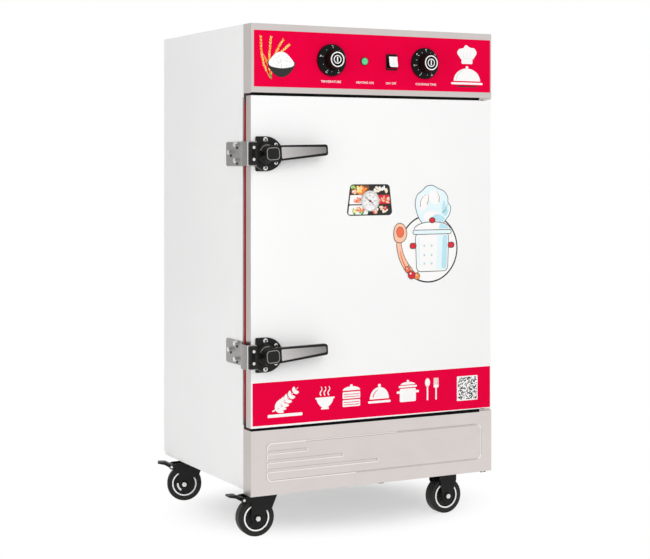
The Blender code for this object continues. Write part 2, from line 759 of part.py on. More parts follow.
def make_float_valve():
    z = TANK_Z + FLOAT_RISE
    wall = LINER_BACK - LINER_SHEET
    length = DEPTH + SHANK_REACH - wall + VALVE_LENGTH / 2
    spot = (FLOAT_X, wall - VALVE_LENGTH / 2, z)
    valve = rod("float_valve", SHANK_RADIUS, 0.0, length, BRASS, cabinet, spot, "y")
    half = VALVE_WIDTH / 2
    low = (FLOAT_X - half, wall - FIT - VALVE_LENGTH, z - half)
    high = (FLOAT_X + half, wall - FIT, z + half)
    fuse(valve, block("valve_block", low, high, None))
    spot = (FLOAT_X, DEPTH + FIT, z)
    fuse(valve, rod("valve_nut", VALVE_NUT_RADIUS, 0.0, VALVE_NUT_LENGTH, None, cabinet, spot, "y", HEX))
    slot = VALVE_SLOT / 2
    pivot_y = wall - FIT - VALVE_LENGTH + VALVE_SLOT
    low = (FLOAT_X - slot, wall - FIT - VALVE_LENGTH - OVERRUN, z - half - OVERRUN)
    high = (FLOAT_X + slot, pivot_y + VALVE_SLOT, z + half + OVERRUN)
    cut(valve, block("valve_slot", low, high, None))
    axis = add_empty("float_axis", (FLOAT_X, pivot_y, z), cabinet)
    pivot = (FLOAT_X, pivot_y, z)
    pin = rod("valve_pin", VALVE_PIN_RADIUS, -half + FIT, half - FIT, None, cabinet, pivot)
    pin.rotation_euler = ACROSS
    fuse(valve, pin)
    eye_radius = VALVE_PIN_RADIUS + FIT
    cheek = VALVE_SLOT / 2 - FIT
    arm = rod("float_arm", EYE_SHARE * eye_radius, -cheek, cheek, BRASS, axis, pivot)
    arm.rotation_euler = ACROSS
    drop = math.sin(FLOAT_DROOP)
    out = math.cos(FLOAT_DROOP)
    first = (1 + EYE_SHARE) / 2 * eye_radius
    start = (FLOAT_X, pivot_y - first * out, z - first * drop)
    end = (FLOAT_X, pivot_y - FLOAT_ARM_LENGTH * out, z - FLOAT_ARM_LENGTH * drop)
    fuse(arm, tube("float_rod", [start, end], FLOAT_ROD_RADIUS, None, axis))
    ball = [(FLOAT_BALL_RADIUS * math.sin(a), FLOAT_BALL_RADIUS * math.cos(a)) for a in half_turn(8)]
    fuse(arm, turned("float_ball", ball, None, axis, end, "z", BALL_STEPS))
    eye = rod("float_eye_hole", eye_radius, -VALVE_SLOT, VALVE_SLOT, None, axis, pivot)
    eye.rotation_euler = ACROSS
    cut(arm, eye)


def half_turn(steps):
    return [math.pi * i / steps for i in range(steps + 1)]


def make_drain():
    end = BASE_Z - DRAIN_DROP
    body = end + DRAIN_NOZZLE + DRAIN_BODY_HALF
    top = TANK_Z
    flange = TANK_Z - FIT
    bore = DRAIN_BORE_RADIUS
    bulge = DRAIN_BODY_RADIUS
    pipe = DRAIN_PIPE_RADIUS
    flange_foot = flange - DRAIN_FLANGE_THICK
    waist = DRAIN_BODY_HALF / 2
    profile = [
        (bore, top), (pipe, top), (pipe, flange), (DRAIN_FLANGE_RADIUS, flange),
        (DRAIN_FLANGE_RADIUS, flange_foot), (pipe, flange_foot), (pipe, body + DRAIN_BODY_HALF),
        (bulge, body + waist), (bulge, body - waist), (pipe, body - DRAIN_BODY_HALF), (pipe, end),
        (bore, end),
    ]
    spot = (DRAIN_X, DRAIN_Y, 0.0)
    valve = turned("drain_valve", profile, BRASS, cabinet, spot, "z", MIDDLE_STEPS, ring=True)
    face = DRAIN_BODY_RADIUS + FIT
    reach = face + DRAIN_LEVER_THICK + OVERRUN
    start = DRAIN_BORE_RADIUS + OVERRUN
    spot = (DRAIN_X, DRAIN_Y, body)
    fuse(valve, rod("drain_stem", DRAIN_STEM_RADIUS, start, reach, None, cabinet, spot, "-y"))
    axis = add_empty("drain_axis", (DRAIN_X, DRAIN_Y - face, body), cabinet)
    half = DRAIN_LEVER_WIDTH / 2
    outline = arc((0.0, 0.0), half, 90, 270, 8) + arc((DRAIN_LEVER_LENGTH - half, 0.0), half, 270, 450, 8)
    spot = (DRAIN_X, DRAIN_Y - face - DRAIN_LEVER_THICK / 2, body)
    lever = plate("drain_lever", outline, DRAIN_LEVER_THICK, RED_PAINT, axis, spot, STANDING)
    hole = DRAIN_STEM_RADIUS + FIT
    spot = (DRAIN_X, DRAIN_Y, body)
    cut(lever, rod("drain_lever_hole", hole, 0.0, reach + OVERRUN, None, axis, spot, "-y"))


def make_gland():
    outside = GLAND_REACH
    neck_end = -SHEET - FIT
    nut_end = neck_end - GLAND_NUT
    dome = GLAND_RADIUS * GLAND_DOME_SHARE
    shoulder = outside * GLAND_SHOULDER_SHARE
    profile = [
        (GLAND_BORE, outside), (dome, outside), (GLAND_RADIUS, shoulder), (GLAND_RADIUS, FIT),
        (GLAND_NECK, FIT), (GLAND_NECK, neck_end), (GLAND_RADIUS, neck_end), (GLAND_RADIUS, nut_end),
        (GLAND_BORE, nut_end),
    ]
    spot = (GLAND_X, DEPTH, TOP_Z - GLAND_DROP)
    turned("cable_gland", profile, BLACK_NYLON, cabinet, spot, "y", MIDDLE_STEPS, ring=True)


def make_head():
    low = (-HALF, 0.0, HEAD_Z)
    head = folded_box("control_fascia", low, (HALF, FRONT_DEPTH - FIT, TOP_Z), ("+y",), SHEET, STAINLESS)
    z = TOP_Z - CONTROL_DROP
    reach = SHEET + OVERRUN
    for name, x in (("thermostat", THERMOSTAT_X), ("timer", TIMER_X)):
        hole = rod(f"{name}_hole", SPINDLE_RADIUS + 2 * FIT, -reach, reach, None, cabinet, (x, 0.0, z), "y")
        cut(head, hole)
        make_control(name, x, z)
    cut(head, rod("lamp_hole", LAMP_NECK + FIT, -reach, reach, None, cabinet, (LAMP_X, 0.0, z), "y"))
    half_x = SWITCH_WIDTH / 2 - SWITCH_NECK_INSET + FIT
    half_z = SWITCH_HEIGHT / 2 - SWITCH_NECK_INSET + FIT
    low = (SWITCH_X - half_x, -reach, z - half_z)
    cut(head, block("switch_hole", low, (SWITCH_X + half_x, reach, z + half_z), None))
    make_lamp(z)
    make_switch(z)


def make_control(name, x, z):
    # The knob's spindle runs through the fascia into the bush of the control behind it.
    inside = SHEET + FIT
    half = CONTROL_BODY / 2
    if name == "timer":
        spot = (x, inside, z)
        body = rod("timer_body", half, 0.0, CONTROL_BODY_DEPTH, BLACK_NYLON, cabinet, spot, "y", ROUND_STEPS)
    else:
        low = (x - half, inside, z - half)
        high = (x + half, inside + CONTROL_BODY_DEPTH, z + half)
        body = block("thermostat_body", low, high, BLACK_NYLON)
        soften(body, CONTROL_BODY_EDGE)
    bore = SPINDLE_RADIUS + FIT
    deep = inside + SPINDLE_LENGTH + OVERRUN
    cut(body, rod(f"{name}_bush", bore, 0.0, deep, None, cabinet, (x, 0.0, z), "y"))
    axis = add_empty(f"{name}_axis", (x, 0.0, z), cabinet)
    tip = KNOB_STANDOFF + KNOB_REACH
    brim = KNOB_STANDOFF + KNOB_SKIRT
    edge = (KNOB_GRIP_RADIUS - KNOB_CAP_RADIUS) / 2
    profile = [
        (0.0, tip), (KNOB_CAP_RADIUS, tip), (KNOB_CAP_RADIUS + edge, tip - edge),
        (KNOB_GRIP_RADIUS, brim + KNOB_SLOPE), (KNOB_RADIUS - KNOB_SLOPE, brim + KNOB_SLOPE / 2),
        (KNOB_RADIUS, brim), (KNOB_RADIUS, KNOB_STANDOFF), (SPINDLE_RADIUS, KNOB_STANDOFF),
        (SPINDLE_RADIUS, -SPINDLE_LENGTH - SHEET), (0.0, -SPINDLE_LENGTH - SHEET),
    ]
    turned(f"{name}_knob", profile, BLACK_NYLON, axis, (x, 0.0, z), "-y")


def make_lamp(z):
    inside = -SHEET - FIT
    front = 2 * FIT
    behind = inside - LAMP_NUT_THICK
    end = inside - LAMP_LENGTH
    profile = [(0.0, LAMP_REACH)]
    profile += [(LAMP_RADIUS * out, LAMP_REACH * up) for out, up in LAMP_DOME_SHARES]
    profile += [
        (LAMP_RADIUS, front), (LAMP_NECK, front), (LAMP_NECK, inside), (LAMP_NUT, inside),
        (LAMP_NUT, behind), (LAMP_NECK, behind), (LAMP_NECK, end), (0.0, end),
    ]
    turned("pilot_lamp", profile, GREEN_LENS, cabinet, (LAMP_X, 0.0, z), "-y", MIDDLE_STEPS)


def make_switch(z):
    half_x = SWITCH_WIDTH / 2
    half_z = SWITCH_HEIGHT / 2
    face = -2 * FIT - BEZEL_THICK
    low = (SWITCH_X - half_x, face, z - half_z)
    body = block("power_switch_body", low, (SWITCH_X + half_x, -2 * FIT, z + half_z), BLACK_NYLON)
    neck_x = half_x - SWITCH_NECK_INSET
    neck_z = half_z - SWITCH_NECK_INSET
    low = (SWITCH_X - neck_x, face / 2, z - neck_z)
    fuse(body, block("switch_neck", low, (SWITCH_X + neck_x, SWITCH_DEPTH, z + neck_z), None))
    pocket_x = neck_x - SWITCH_WALL
    pocket_z = neck_z - SWITCH_WALL
    low = (SWITCH_X - pocket_x, face - OVERRUN, z - pocket_z)
    cut(body, block("rocker_pocket", low, (SWITCH_X + pocket_x, face + ROCKER_POCKET, z + pocket_z), None))
    axis = add_empty("rocker_axis", (SWITCH_X, 0.0, z), cabinet)
    end = pocket_z - ROCKER_END_GAP
    back = face + ROCKER_POCKET - ROCKER_END_GAP
    flank = back / 2
    outline = [(-ROCKER_REACH, end), (-ROCKER_DIP, 0.0), (-ROCKER_REACH, -end)]
    outline += [(flank, -end), (back, 0.0), (flank, end)]
    width = 2 * (pocket_x - FIT)
    rocker = plate("power_switch_rocker", outline, width, WHITE_PLASTIC, axis, (SWITCH_X, 0.0, z))
    stand = Matrix(((0, 0, 1), (1, 0, 0), (0, 1, 0))).to_euler()
    tilt = Matrix.Rotation(ROCKER_TILT, 3, "X")
    rocker.rotation_euler = (tilt @ stand.to_matrix()).to_euler()


def make_base():
    low = (-HALF, 0.0, BASE_Z)
    base = folded_box("base_panel", low, (HALF, FRONT_DEPTH - FIT, BASE_TOP), ("+y", "-z"), SHEET, STAINLESS)
    left = -HALF + PRESS_LEFT
    right = HALF - PRESS_RIGHT
    foot = BASE_Z + PRESS_FOOT
    top = BASE_TOP - PRESS_TOP
    outline = rounded_rectangle(left, right, foot, top, PRESS_CORNER)
    thick = PRESS_HEIGHT + SHEET / 2
    spot = (0.0, thick / 2 - PRESS_HEIGHT, 0.0)
    raised = plate("base_pressing", outline, thick, None, cabinet, spot, STANDING)
    half = GROOVE_WIDTH / 2
    for number in range(GROOVES):
        z = top - GROOVE_PITCH * (number + 1)
        end = left + GROOVE_FIRST + GROOVE_STEP * number
        groove = arc((end - half, z), half, -90, 90, 6)
        groove += [(left - OVERRUN, z + half), (left - OVERRUN, z - half)]
        cut(raised, plate(f"base_groove_{number}", groove, 2 * thick, None, cabinet, spot, STANDING))
    fuse(base, raised)


def make_door():
    door = add_empty("door_axis", (HINGE_X, HINGE_Y, DOOR_Z), cabinet)
    low = (-HALF, SKIN + FIT, DOOR_Z)
    high = (DOOR_RIGHT, DOOR_THICK, DOOR_TOP)
    pan = folded_box("door_pan", low, high, ("+y",), SHEET, STAINLESS, door)
    bore = PIN_RADIUS + FIT
    reach = SHEET + OVERRUN
    for end, z in (("foot", DOOR_Z), ("top", DOOR_TOP)):
        cut(pan, rod(f"door_{end}_pin_hole", bore, -reach, reach, None, door, (HINGE_X, HINGE_Y, z)))
    skin = block("door_skin", (-HALF, 0.0, DOOR_Z), (DOOR_RIGHT, SKIN, DOOR_TOP), WHITE_ENAMEL, door)
    liner = make_door_liner(door)
    dial = (DIAL_X, 0.0, DOOR_TOP - DIAL_DROP)
    hole = rod("door_stem_hole", STEM_RADIUS + FIT, -OVERRUN, FRONT_DEPTH, None, door, dial, "y")
    cut(pan, hole)
    cut(skin, hole)
    cut(liner, hole)
    make_gasket(door)
    make_thermometer(door, dial)
    make_latch("upper", DOOR_TOP - LATCH_DROP, door)
    make_latch("lower", DOOR_Z + LATCH_RISE, door)


def make_door_liner(door):
    # The inner sheet has a raised field inside the gasket.
    wall = SHEET + FIT
    low = Vector((-HALF + wall, DOOR_THICK, DOOR_Z + wall))
    high = Vector((DOOR_RIGHT - wall, DOOR_THICK, DOOR_TOP - wall))
    shape = bmesh.new()
    bmesh.ops.create_grid(shape, x_segments=1, y_segments=1, size=1.0)
    reach = (high - low) / 2
    bmesh.ops.scale(shape, vec=(reach.x, reach.z, 1.0), verts=shape.verts)
    face = list(shape.faces)
    for width in (PLATEAU_INSET - PLATEAU_RISE, PLATEAU_RISE):
        bmesh.ops.inset_region(shape, faces=face, thickness=width, use_boundary=True, use_even_offset=True)
    bmesh.ops.translate(shape, verts=face[0].verts, vec=(0.0, 0.0, PLATEAU_RISE))
    data = bpy.data.meshes.new("door_liner")
    shape.to_mesh(data)
    shape.free()
    liner = place("door_liner", data, STAINLESS, door, (low + high) / 2, (-math.pi / 2, 0.0, 0.0))
    thicken(liner, SHEET)
    return liner


def make_gasket(door):
    y = DOOR_THICK + FIT + GASKET_RADIUS
    left = -HALF + GASKET_LINE
    right = DOOR_RIGHT - GASKET_LINE
    foot = DOOR_Z + GASKET_LINE
    top = DOOR_TOP - GASKET_LINE
    outline = rounded_rectangle(left, right, foot, top, GASKET_CORNER, 4)
    tube("door_gasket", [(x, y, z) for x, z in outline], GASKET_RADIUS, RED_SILICONE, door, closed=True)


def make_thermometer(door, dial):
    rim = DIAL_REACH
    floor = rim - DIAL_RECESS
    profile = [
        (0.0, floor), (DIAL_RADIUS - DIAL_WALL, floor), (DIAL_RADIUS - DIAL_WALL, rim),
        (DIAL_RADIUS - DIAL_WALL / 2, rim), (DIAL_RADIUS, rim - DIAL_WALL / 2), (DIAL_RADIUS, FIT),
        (STEM_RADIUS, FIT), (STEM_RADIUS, -STEM_END), (0.0, -STEM_END),
    ]
    turned("thermometer_case", profile, STAINLESS, door, dial, "-y")
    axis = add_empty("needle_axis", dial, door)
    tail = NEEDLE_TAIL_WIDTH / 2
    tip = NEEDLE_TIP_WIDTH / 2
    outline = [(-tail, -NEEDLE_TAIL), (tail, -NEEDLE_TAIL), (tip, NEEDLE_LENGTH), (-tip, NEEDLE_LENGTH)]
    lean = Matrix.Rotation(NEEDLE_REST, 2)
    outline = [tuple(lean @ Vector(point)) for point in outline]
    spot = (dial[0], -floor - FIT - NEEDLE_THICK / 2, dial[2])
    needle = plate("thermometer_needle", outline, NEEDLE_THICK, BLACK_PAINT, axis, spot, STANDING)
    low = floor + FIT
    hub = rod("needle_hub", NEEDLE_HUB, low, low + 2 * NEEDLE_THICK, None, axis, dial, "-y")
    fuse(needle, hub)


def make_latch(which, z, door):
    x = -HALF + LATCH_INSET
    # The base is a D: half a disc to the right of the pin and a square end on the strike's side.
    corner = LATCH_BASE_CORNER
    side = corner - LATCH_FLAT
    top = LATCH_BASE_RADIUS - corner
    outline = arc((0.0, 0.0), LATCH_BASE_RADIUS, -90, 90, MIDDLE_STEPS)
    outline += arc((side, top), corner, 90, 180, 3) + arc((side, -top), corner, 180, 270, 3)
    spot = (x, -FIT - LATCH_BASE_THICK / 2, z)
    base = plate(f"latch_base_{which}", outline, LATCH_BASE_THICK, BLACK_NYLON, door, spot, STANDING)
    soften(base, LATCH_BASE_EDGE, 1)
    bore = LATCH_PIN_RADIUS + FIT
    face = FIT + LATCH_BASE_THICK
    cut(base, rod(f"latch_bore_{which}", bore, -FIT, face + OVERRUN, None, door, (x, 0.0, z), "-y"))
    axis = add_empty(f"latch_axis_{which}", (x, 0.0, z), door)
    start = face + FIT
    profile = [
        (0.0, HUB_FRONT + OVERRUN), (HUB_NECK, HUB_FRONT + OVERRUN), (HUB_RADIUS, start),
        (LATCH_PIN_RADIUS, start), (LATCH_PIN_RADIUS, 2 * FIT), (0.0, 2 * FIT),
    ]
    lever = turned(f"latch_lever_{which}", profile, BLACK_NYLON, axis, (x, 0.0, z), "-y", MIDDLE_STEPS)
    arm_back = LEVER_FRONT - LEVER_THICK
    root = LEVER_ROOT / 2
    tip = LEVER_TIP / 2
    corner = LEVER_BLOCK_CORNER
    heel = -LEVER_BLOCK
    outline = arc((LEVER_LENGTH - LEVER_TIP_CORNER, LEVER_TIP_CORNER - tip), LEVER_TIP_CORNER, -90, 0, 3)
    outline += arc((LEVER_LENGTH - LEVER_TIP_CORNER, tip - LEVER_TIP_CORNER), LEVER_TIP_CORNER, 0, 90, 3)
    outline += [(LEVER_BLOCK, root), (heel + corner, root), (heel, root - corner)]
    outline += [(heel, corner - root), (heel + corner, -root), (LEVER_BLOCK, -root)]
    tilt = Matrix.Rotation(-LEVER_TILT, 3, "Y") @ Matrix.Rotation(math.pi / 2, 3, "X")
    arm = plate(f"lever_arm_{which}", outline, LEVER_THICK, None, axis, (x, -arm_back - LEVER_THICK / 2, z))
    arm.rotation_euler = tilt.to_euler()
    soften(arm, LEVER_EDGE)
    fuse(lever, arm)
    half = root - LEVER_EDGE
    low = (x - half, -arm_back - LEVER_THICK / 2, z - half)
    fuse(lever, block(f"lever_block_{which}", low, (x + half, -HUB_FRONT, z + half), None, axis))
    half = TONGUE_WIDTH / 2
    low = (x - TONGUE_LENGTH, -TONGUE_BACK - TONGUE_THICK, z - half)
    fuse(lever, block(f"latch_tongue_{which}", low, (x, -TONGUE_BACK, z + half), None, axis))
    make_strike(which, z)


def make_strike(which, z):
    # A strip bent to clear the door's edge, with a return before the door that holds the pad.
    flat = -HALF - FIT - STRIKE_SHEET
    outer = -HALF - STRIKE_REACH
    near = -HALF - EDGE_GAP
    line = [
        (flat, STRIKE_REAR), (flat, STRIKE_BEND), (outer, STRIKE_BEND - STRIKE_JOGGLE),
        (outer, -STRIKE_FRONT), (near, -STRIKE_FRONT),
    ]
    half = STRIKE_HEIGHT / 2
    shape = bmesh.new()
    lower = [shape.verts.new((x, y, -half)) for x, y in line]
    upper = [shape.verts.new((x, y, half)) for x, y in line]
    for i in range(len(line) - 1):
        shape.faces.new((lower[i], upper[i], upper[i + 1], lower[i + 1]))
    for face in shape.faces:
        face.normal_update()
    if next(iter(shape.faces)).normal.x > 0:
        bmesh.ops.reverse_faces(shape, faces=shape.faces)
    folds = [edge for edge in shape.edges if len(edge.link_faces) == 2]
    bmesh.ops.bevel(
        shape, geom=folds, offset=STRIKE_FOLD, segments=2, profile=ROUND_PROFILE, affect="EDGES"
    )
    ends = [vertex for vertex in shape.verts if vertex.co.y > STRIKE_REAR - WELD]
    bmesh.ops.bevel(
        shape, geom=ends, offset=STRIKE_CORNER, segments=3, profile=ROUND_PROFILE, affect="VERTICES"
    )
    data = bpy.data.meshes.new(f"strike_{which}")
    shape.to_mesh(data)
    shape.free()
    strike = place(f"strike_{which}", data, STAINLESS, cabinet, (0.0, 0.0, z))
    thicken(strike, STRIKE_SHEET)
    pad = PAD_HEIGHT / 2
    low = (outer + PAD_INSET, -STRIKE_FRONT - FIT - PAD_THICK, z - pad)
    high = (near, -STRIKE_FRONT - FIT, z + pad)
    soften(block(f"strike_pad_{which}", low, high, BLACK_NYLON), PAD_EDGE)


def make_hinge(name, leaf_low, collar_end, pin_end):
    low = (HALF - LEAF_WIDTH, LEAF_FRONT, leaf_low)
    high = (HALF, FRONT_DEPTH - FIT, leaf_low + LEAF_THICK)
    leaf = block(name, low, high, STAINLESS)
    mid = leaf_low + LEAF_THICK / 2
    for piece, radius, end in (("collar", COLLAR_RADIUS, collar_end), ("pin", PIN_RADIUS, pin_end)):
        spot = (HINGE_X, HINGE_Y, 0.0)
        fuse(leaf, rod(f"{name}_{piece}", radius, min(mid, end), max(mid, end), None, cabinet, spot))


def make_hinges():
    make_hinge("hinge_top", HEAD_Z - FIT - LEAF_THICK, DOOR_TOP + FIT, DOOR_TOP - PIN_LENGTH)
    make_hinge("hinge_bottom", BASE_TOP + FIT, DOOR_Z - FIT, DOOR_Z + PIN_LENGTH)


def fork_leg_outline(head_z, trail, pedal_pivot):
    half = FORK_WIDTH / 2
    outline = [(half, head_z), (-half, head_z)] + arc((trail, WHEEL_RADIUS), FORK_FOOT_RADIUS, 180, 360, 10)
    if pedal_pivot is not None:
        outline.append((trail + FORK_FOOT_RADIUS, pedal_pivot[1] - PEDAL_EAR_RADIUS))
        outline += arc(pedal_pivot, PEDAL_EAR_RADIUS, 270, 450, 8)
    return outline


def make_wheel(name, parent, spot):
    half = WHEEL_WIDTH / 2
    boss = half + HUB_BOSS_PROUD
    disc = half - DISC_RECESS
    bore = AXLE_RADIUS + AXLE_GAP
    shoulder = WHEEL_RADIUS - TREAD_CROWN
    right = [
        (bore, boss), (HUB_BOSS_RADIUS, boss), (HUB_BOSS_RADIUS, disc), (RIM_RADIUS, disc),
        (RIM_RADIUS, half), (shoulder, half), (WHEEL_RADIUS, half - 2 * TREAD_CROWN),
    ]
    left = [(radius, -height) for radius, height in reversed(right)]
    turned(name, right + left, BLACK_RUBBER, parent, spot, "y", WHEEL_STEPS, ring=True)


def add_legs(fork, parent, trail, head_z, pedal_pivot=None):
    # The fork, its axle bolt and nuts are one riveted unit. Its x runs the way the wheel trails.
    name = fork.name
    cheek = WHEEL_WIDTH / 2 + FORK_GAP
    for number, side in enumerate((-1, 1)):
        spot = (0.0, side * (cheek + FORK_SHEET / 2), 0.0)
        outline = fork_leg_outline(head_z, trail, pedal_pivot)
        fuse(fork, plate(f"{name}_leg_{number}", outline, FORK_SHEET, None, parent, spot, STANDING))
    reach = cheek + FORK_SHEET
    axle = (trail, 0.0, WHEEL_RADIUS)
    fuse(fork, rod(f"{name}_axle", AXLE_RADIUS, -reach, reach, None, parent, axle, "y"))
    bite = FORK_SHEET / 2
    for number, side in enumerate((-1, 1)):
        low = min(side * (reach - bite), side * (reach + NUT_LENGTH))
        high = max(side * (reach - bite), side * (reach + NUT_LENGTH))
        fuse(fork, rod(f"{name}_nut_{number}", NUT_RADIUS, low, high, None, parent, axle, "y", HEX))


def make_swivel_caster(corner, x, y, turn):
    mount = add_empty(f"caster_mount_{corner}", (x, y, 0.0), cabinet)
    local_frames.append(mount)
    top = CHASSIS_Z - FIT
    half_x = PLATE_LENGTH / 2
    half_y = PLATE_WIDTH / 2
    low = (-half_x, -half_y, top - PLATE_THICK)
    base = block(f"caster_plate_{corner}", low, (half_x, half_y, top), BLACK_PAINT, mount)
    race_foot = top - PLATE_THICK - RACE_THICK
    spot = (0.0, 0.0, 0.0)
    race_top = top - PLATE_THICK / 2
    race = rod(f"race_{corner}", RACE_RADIUS, race_foot, race_top, None, mount, spot, steps=MIDDLE_STEPS)
    fuse(base, race)
    bore = KINGPIN_RADIUS + FIT
    cut(base, rod(f"king_bore_{corner}", bore, race_foot - OVERRUN, top + OVERRUN, None, mount, spot))
    swivel = bpy.data.objects.new(f"swivel_axis_{corner}", None)
    model.objects.link(swivel)
    swivel.parent = mount
    swivel.rotation_euler = (0.0, 0.0, turn)
    local_frames.append(swivel)
    head = race_foot - FIT
    half_x = FORK_WIDTH / 2 + FIT
    half_y = WHEEL_WIDTH / 2 + FORK_GAP + FORK_SHEET - FIT
    low = (-half_x, -half_y, head - FORK_HEAD_THICK)
    fork = block(f"caster_fork_{corner}", low, (half_x, half_y, head), BLACK_PAINT, swivel)
    bite = head - FORK_HEAD_THICK / 2
    fuse(fork, rod(f"kingpin_{corner}", KINGPIN_RADIUS, bite, top - FIT, None, swivel, spot))
    pivot = (PEDAL_PIVOT_OUT, head - PEDAL_PIVOT_DROP)
    add_legs(fork, swivel, TRAIL, bite, pivot)
    make_wheel(f"caster_wheel_{corner}", swivel, (TRAIL, 0.0, WHEEL_RADIUS))
    make_pedal(corner, swivel, fork, (PEDAL_PIVOT_OUT, 0.0, head - PEDAL_PIVOT_DROP))


def make_pedal(corner, swivel, fork, pivot):
    # The pedal turns on a pin between two ears of the fork, over the trailing side of the wheel.
    half = PEDAL_WIDTH / 2
    reach = WHEEL_WIDTH / 2 + FORK_GAP + FORK_SHEET / 2
    fuse(fork, rod(f"pedal_pin_{corner}", PEDAL_PIN_RADIUS, -reach, reach, None, swivel, pivot, "y"))
    axis = bpy.data.objects.new(f"pedal_axis_{corner}", None)
    model.objects.link(axis)
    axis.parent = swivel
    axis.location = pivot
    local_frames.append(axis)
    top = BASE_Z - PEDAL_TOP_GAP - pivot[2]
    eye = PEDAL_PIN_RADIUS + PEDAL_EYE_WALL
    toe = PEDAL_REACH - PEDAL_PIVOT_OUT
    foot = toe * PEDAL_KNEE_SHARE
    outline = arc((0.0, 0.0), eye, 100, 300, 10)
    outline += [(foot, top - 2 * PEDAL_THICK), (toe, top - PEDAL_THICK), (toe, top), (foot, top), (eye, eye)]
    spot = (0.0, 0.0, 0.0)
    pedal = plate(f"brake_pedal_{corner}", outline, PEDAL_WIDTH, BLACK_NYLON, axis, spot, STANDING)
    bore = PEDAL_PIN_RADIUS + FIT
    reach = half + OVERRUN
    cut(pedal, rod(f"pedal_bore_{corner}", bore, -reach, reach, None, axis, spot, "y"))


def make_fixed_caster(corner, x, y):
    mount = add_empty(f"caster_mount_{corner}", (x, y, 0.0), cabinet)
    local_frames.append(mount)
    top = CHASSIS_Z - FIT
    half_x = PLATE_LENGTH / 2
    half_y = PLATE_WIDTH / 2
    low = (-half_x, -half_y, top - PLATE_THICK)
    fork = block(f"caster_fork_{corner}", low, (half_x, half_y, top), BLACK_PAINT, mount)
    add_legs(fork, mount, 0.0, top - PLATE_THICK / 2)
    make_wheel(f"caster_wheel_{corner}", mount, (0.0, 0.0, WHEEL_RADIUS))


def make_casters():
    left = -HALF + SWIVEL_INSET
    right = HALF - FIXED_INSET
    rear = DEPTH - CASTER_REAR
    make_swivel_caster("front_left", left, CASTER_FRONT, FRONT_SWIVEL_TURN)
    make_swivel_caster("rear_left", left, rear, REAR_SWIVEL_TURN)
    make_fixed_caster("front_right", right, CASTER_FRONT)
    make_fixed_caster("rear_right", right, rear)


make_casing()
make_chamber()
make_rack("tray_rack_left", -1)
make_rack("tray_rack_right", 1)
for tray_number in range(TRAYS):
    make_tray(tray_number)
make_heater()
make_float_valve()
make_drain()
make_gland()
make_head()
make_base()
make_door()
make_hinges()
make_casters()
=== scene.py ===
# %% [markdown]
# # A rice steamer cabinet
#
# The real cabinet is a tall insulated box on casters. It steams rice and other food on trays over
# a heated water tank. Its case is folded sheet metal, white or left bare, with printed films on it.
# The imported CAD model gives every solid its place. This script gives them their looks, and adds
# what is too fine for the solids: prints, screws, inserts, rings and ribs.

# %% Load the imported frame
import json
import math
import random

import bmesh
import bpy
from mathutils import Matrix, Vector


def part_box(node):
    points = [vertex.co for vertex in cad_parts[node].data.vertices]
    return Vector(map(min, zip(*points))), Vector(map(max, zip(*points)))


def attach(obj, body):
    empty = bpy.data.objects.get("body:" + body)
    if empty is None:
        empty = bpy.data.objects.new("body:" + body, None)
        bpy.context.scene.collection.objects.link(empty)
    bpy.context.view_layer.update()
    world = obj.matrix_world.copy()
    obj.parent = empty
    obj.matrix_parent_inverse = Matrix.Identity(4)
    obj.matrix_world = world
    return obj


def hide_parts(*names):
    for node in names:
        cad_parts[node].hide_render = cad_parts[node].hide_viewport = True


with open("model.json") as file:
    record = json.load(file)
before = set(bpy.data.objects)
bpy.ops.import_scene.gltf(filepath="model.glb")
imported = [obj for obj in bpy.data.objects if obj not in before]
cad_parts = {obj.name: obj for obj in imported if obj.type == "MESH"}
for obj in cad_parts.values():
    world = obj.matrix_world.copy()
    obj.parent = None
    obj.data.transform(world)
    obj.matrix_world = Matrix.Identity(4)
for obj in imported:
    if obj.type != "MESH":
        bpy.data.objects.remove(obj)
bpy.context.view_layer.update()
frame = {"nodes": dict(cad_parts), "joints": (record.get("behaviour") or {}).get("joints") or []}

# %% [markdown]
# ## Millimetres from the middle of the door
#
# A maker measures this cabinet in millimetres from the door's face. Each new piece is therefore
# built in those numbers, and one matrix takes it to the frame's metres. It could be typed in world
# metres as well, but then no number would match a rule held against the cabinet.

# %% Cabinet millimetres to world metres
fascia_low, fascia_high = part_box("control_fascia")
MIDDLE_X = (fascia_low.x + fascia_high.x) / 2
FACE_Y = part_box("door_skin")[0].y
MM = 0.001
TO_WORLD = Matrix.Translation((MIDDLE_X, FACE_Y, 0.0)) @ Matrix.Scale(MM, 4)


def in_mm(point):
    """A world point in cabinet millimetres."""
    return TO_WORLD.inverted() @ Vector(point)


def box_mm(node):
    """The low and high corner of a CAD node in cabinet millimetres."""
    low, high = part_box(node)
    return in_mm(low), in_mm(high)


print("middle of the width", round(MIDDLE_X, 4), "door face", round(FACE_Y, 4))

# %% [markdown]
# ## Camera
#
# The photograph shows the cabinet from the left at chest height, with upright edges upright. A
# level camera with a vertical shift gives that, as a view camera does. Tilting it would make the
# sides lean.

# %% Camera at the photograph's angle
scene = bpy.context.scene
lens = bpy.data.cameras.new("view")
lens.sensor_width = 36.0
lens.lens = 84.07
lens.shift_y = -0.1766
camera = bpy.data.objects.new("view", lens)
camera.location = (-1.890, -3.611, 0.9144)
camera.rotation_euler = (math.radians(90.0), 0.0, math.radians(-27.81))
scene.collection.objects.link(camera)
scene.camera = camera
scene.view_settings.view_transform = "Standard"
print("camera", tuple(round(v, 3) for v in camera.location))

# %% [markdown]
# ## Light and floor
#
# The real picture is a bright studio shot: white paper under and behind the cabinet, and large
# soft lamps. The world is plain white, and two wide area lamps give the front a little more light
# than the side. Steel and film mirror the paper and not these two. The paper at the room's two
# sides is a little greyer, so folded steel shows its corners. A weak lamp at the right, the only
# one that steel mirrors, rims the relief. The floor is matt paper that keeps the shadow and turns
# into pure white far out.

# %% Node and colour helpers


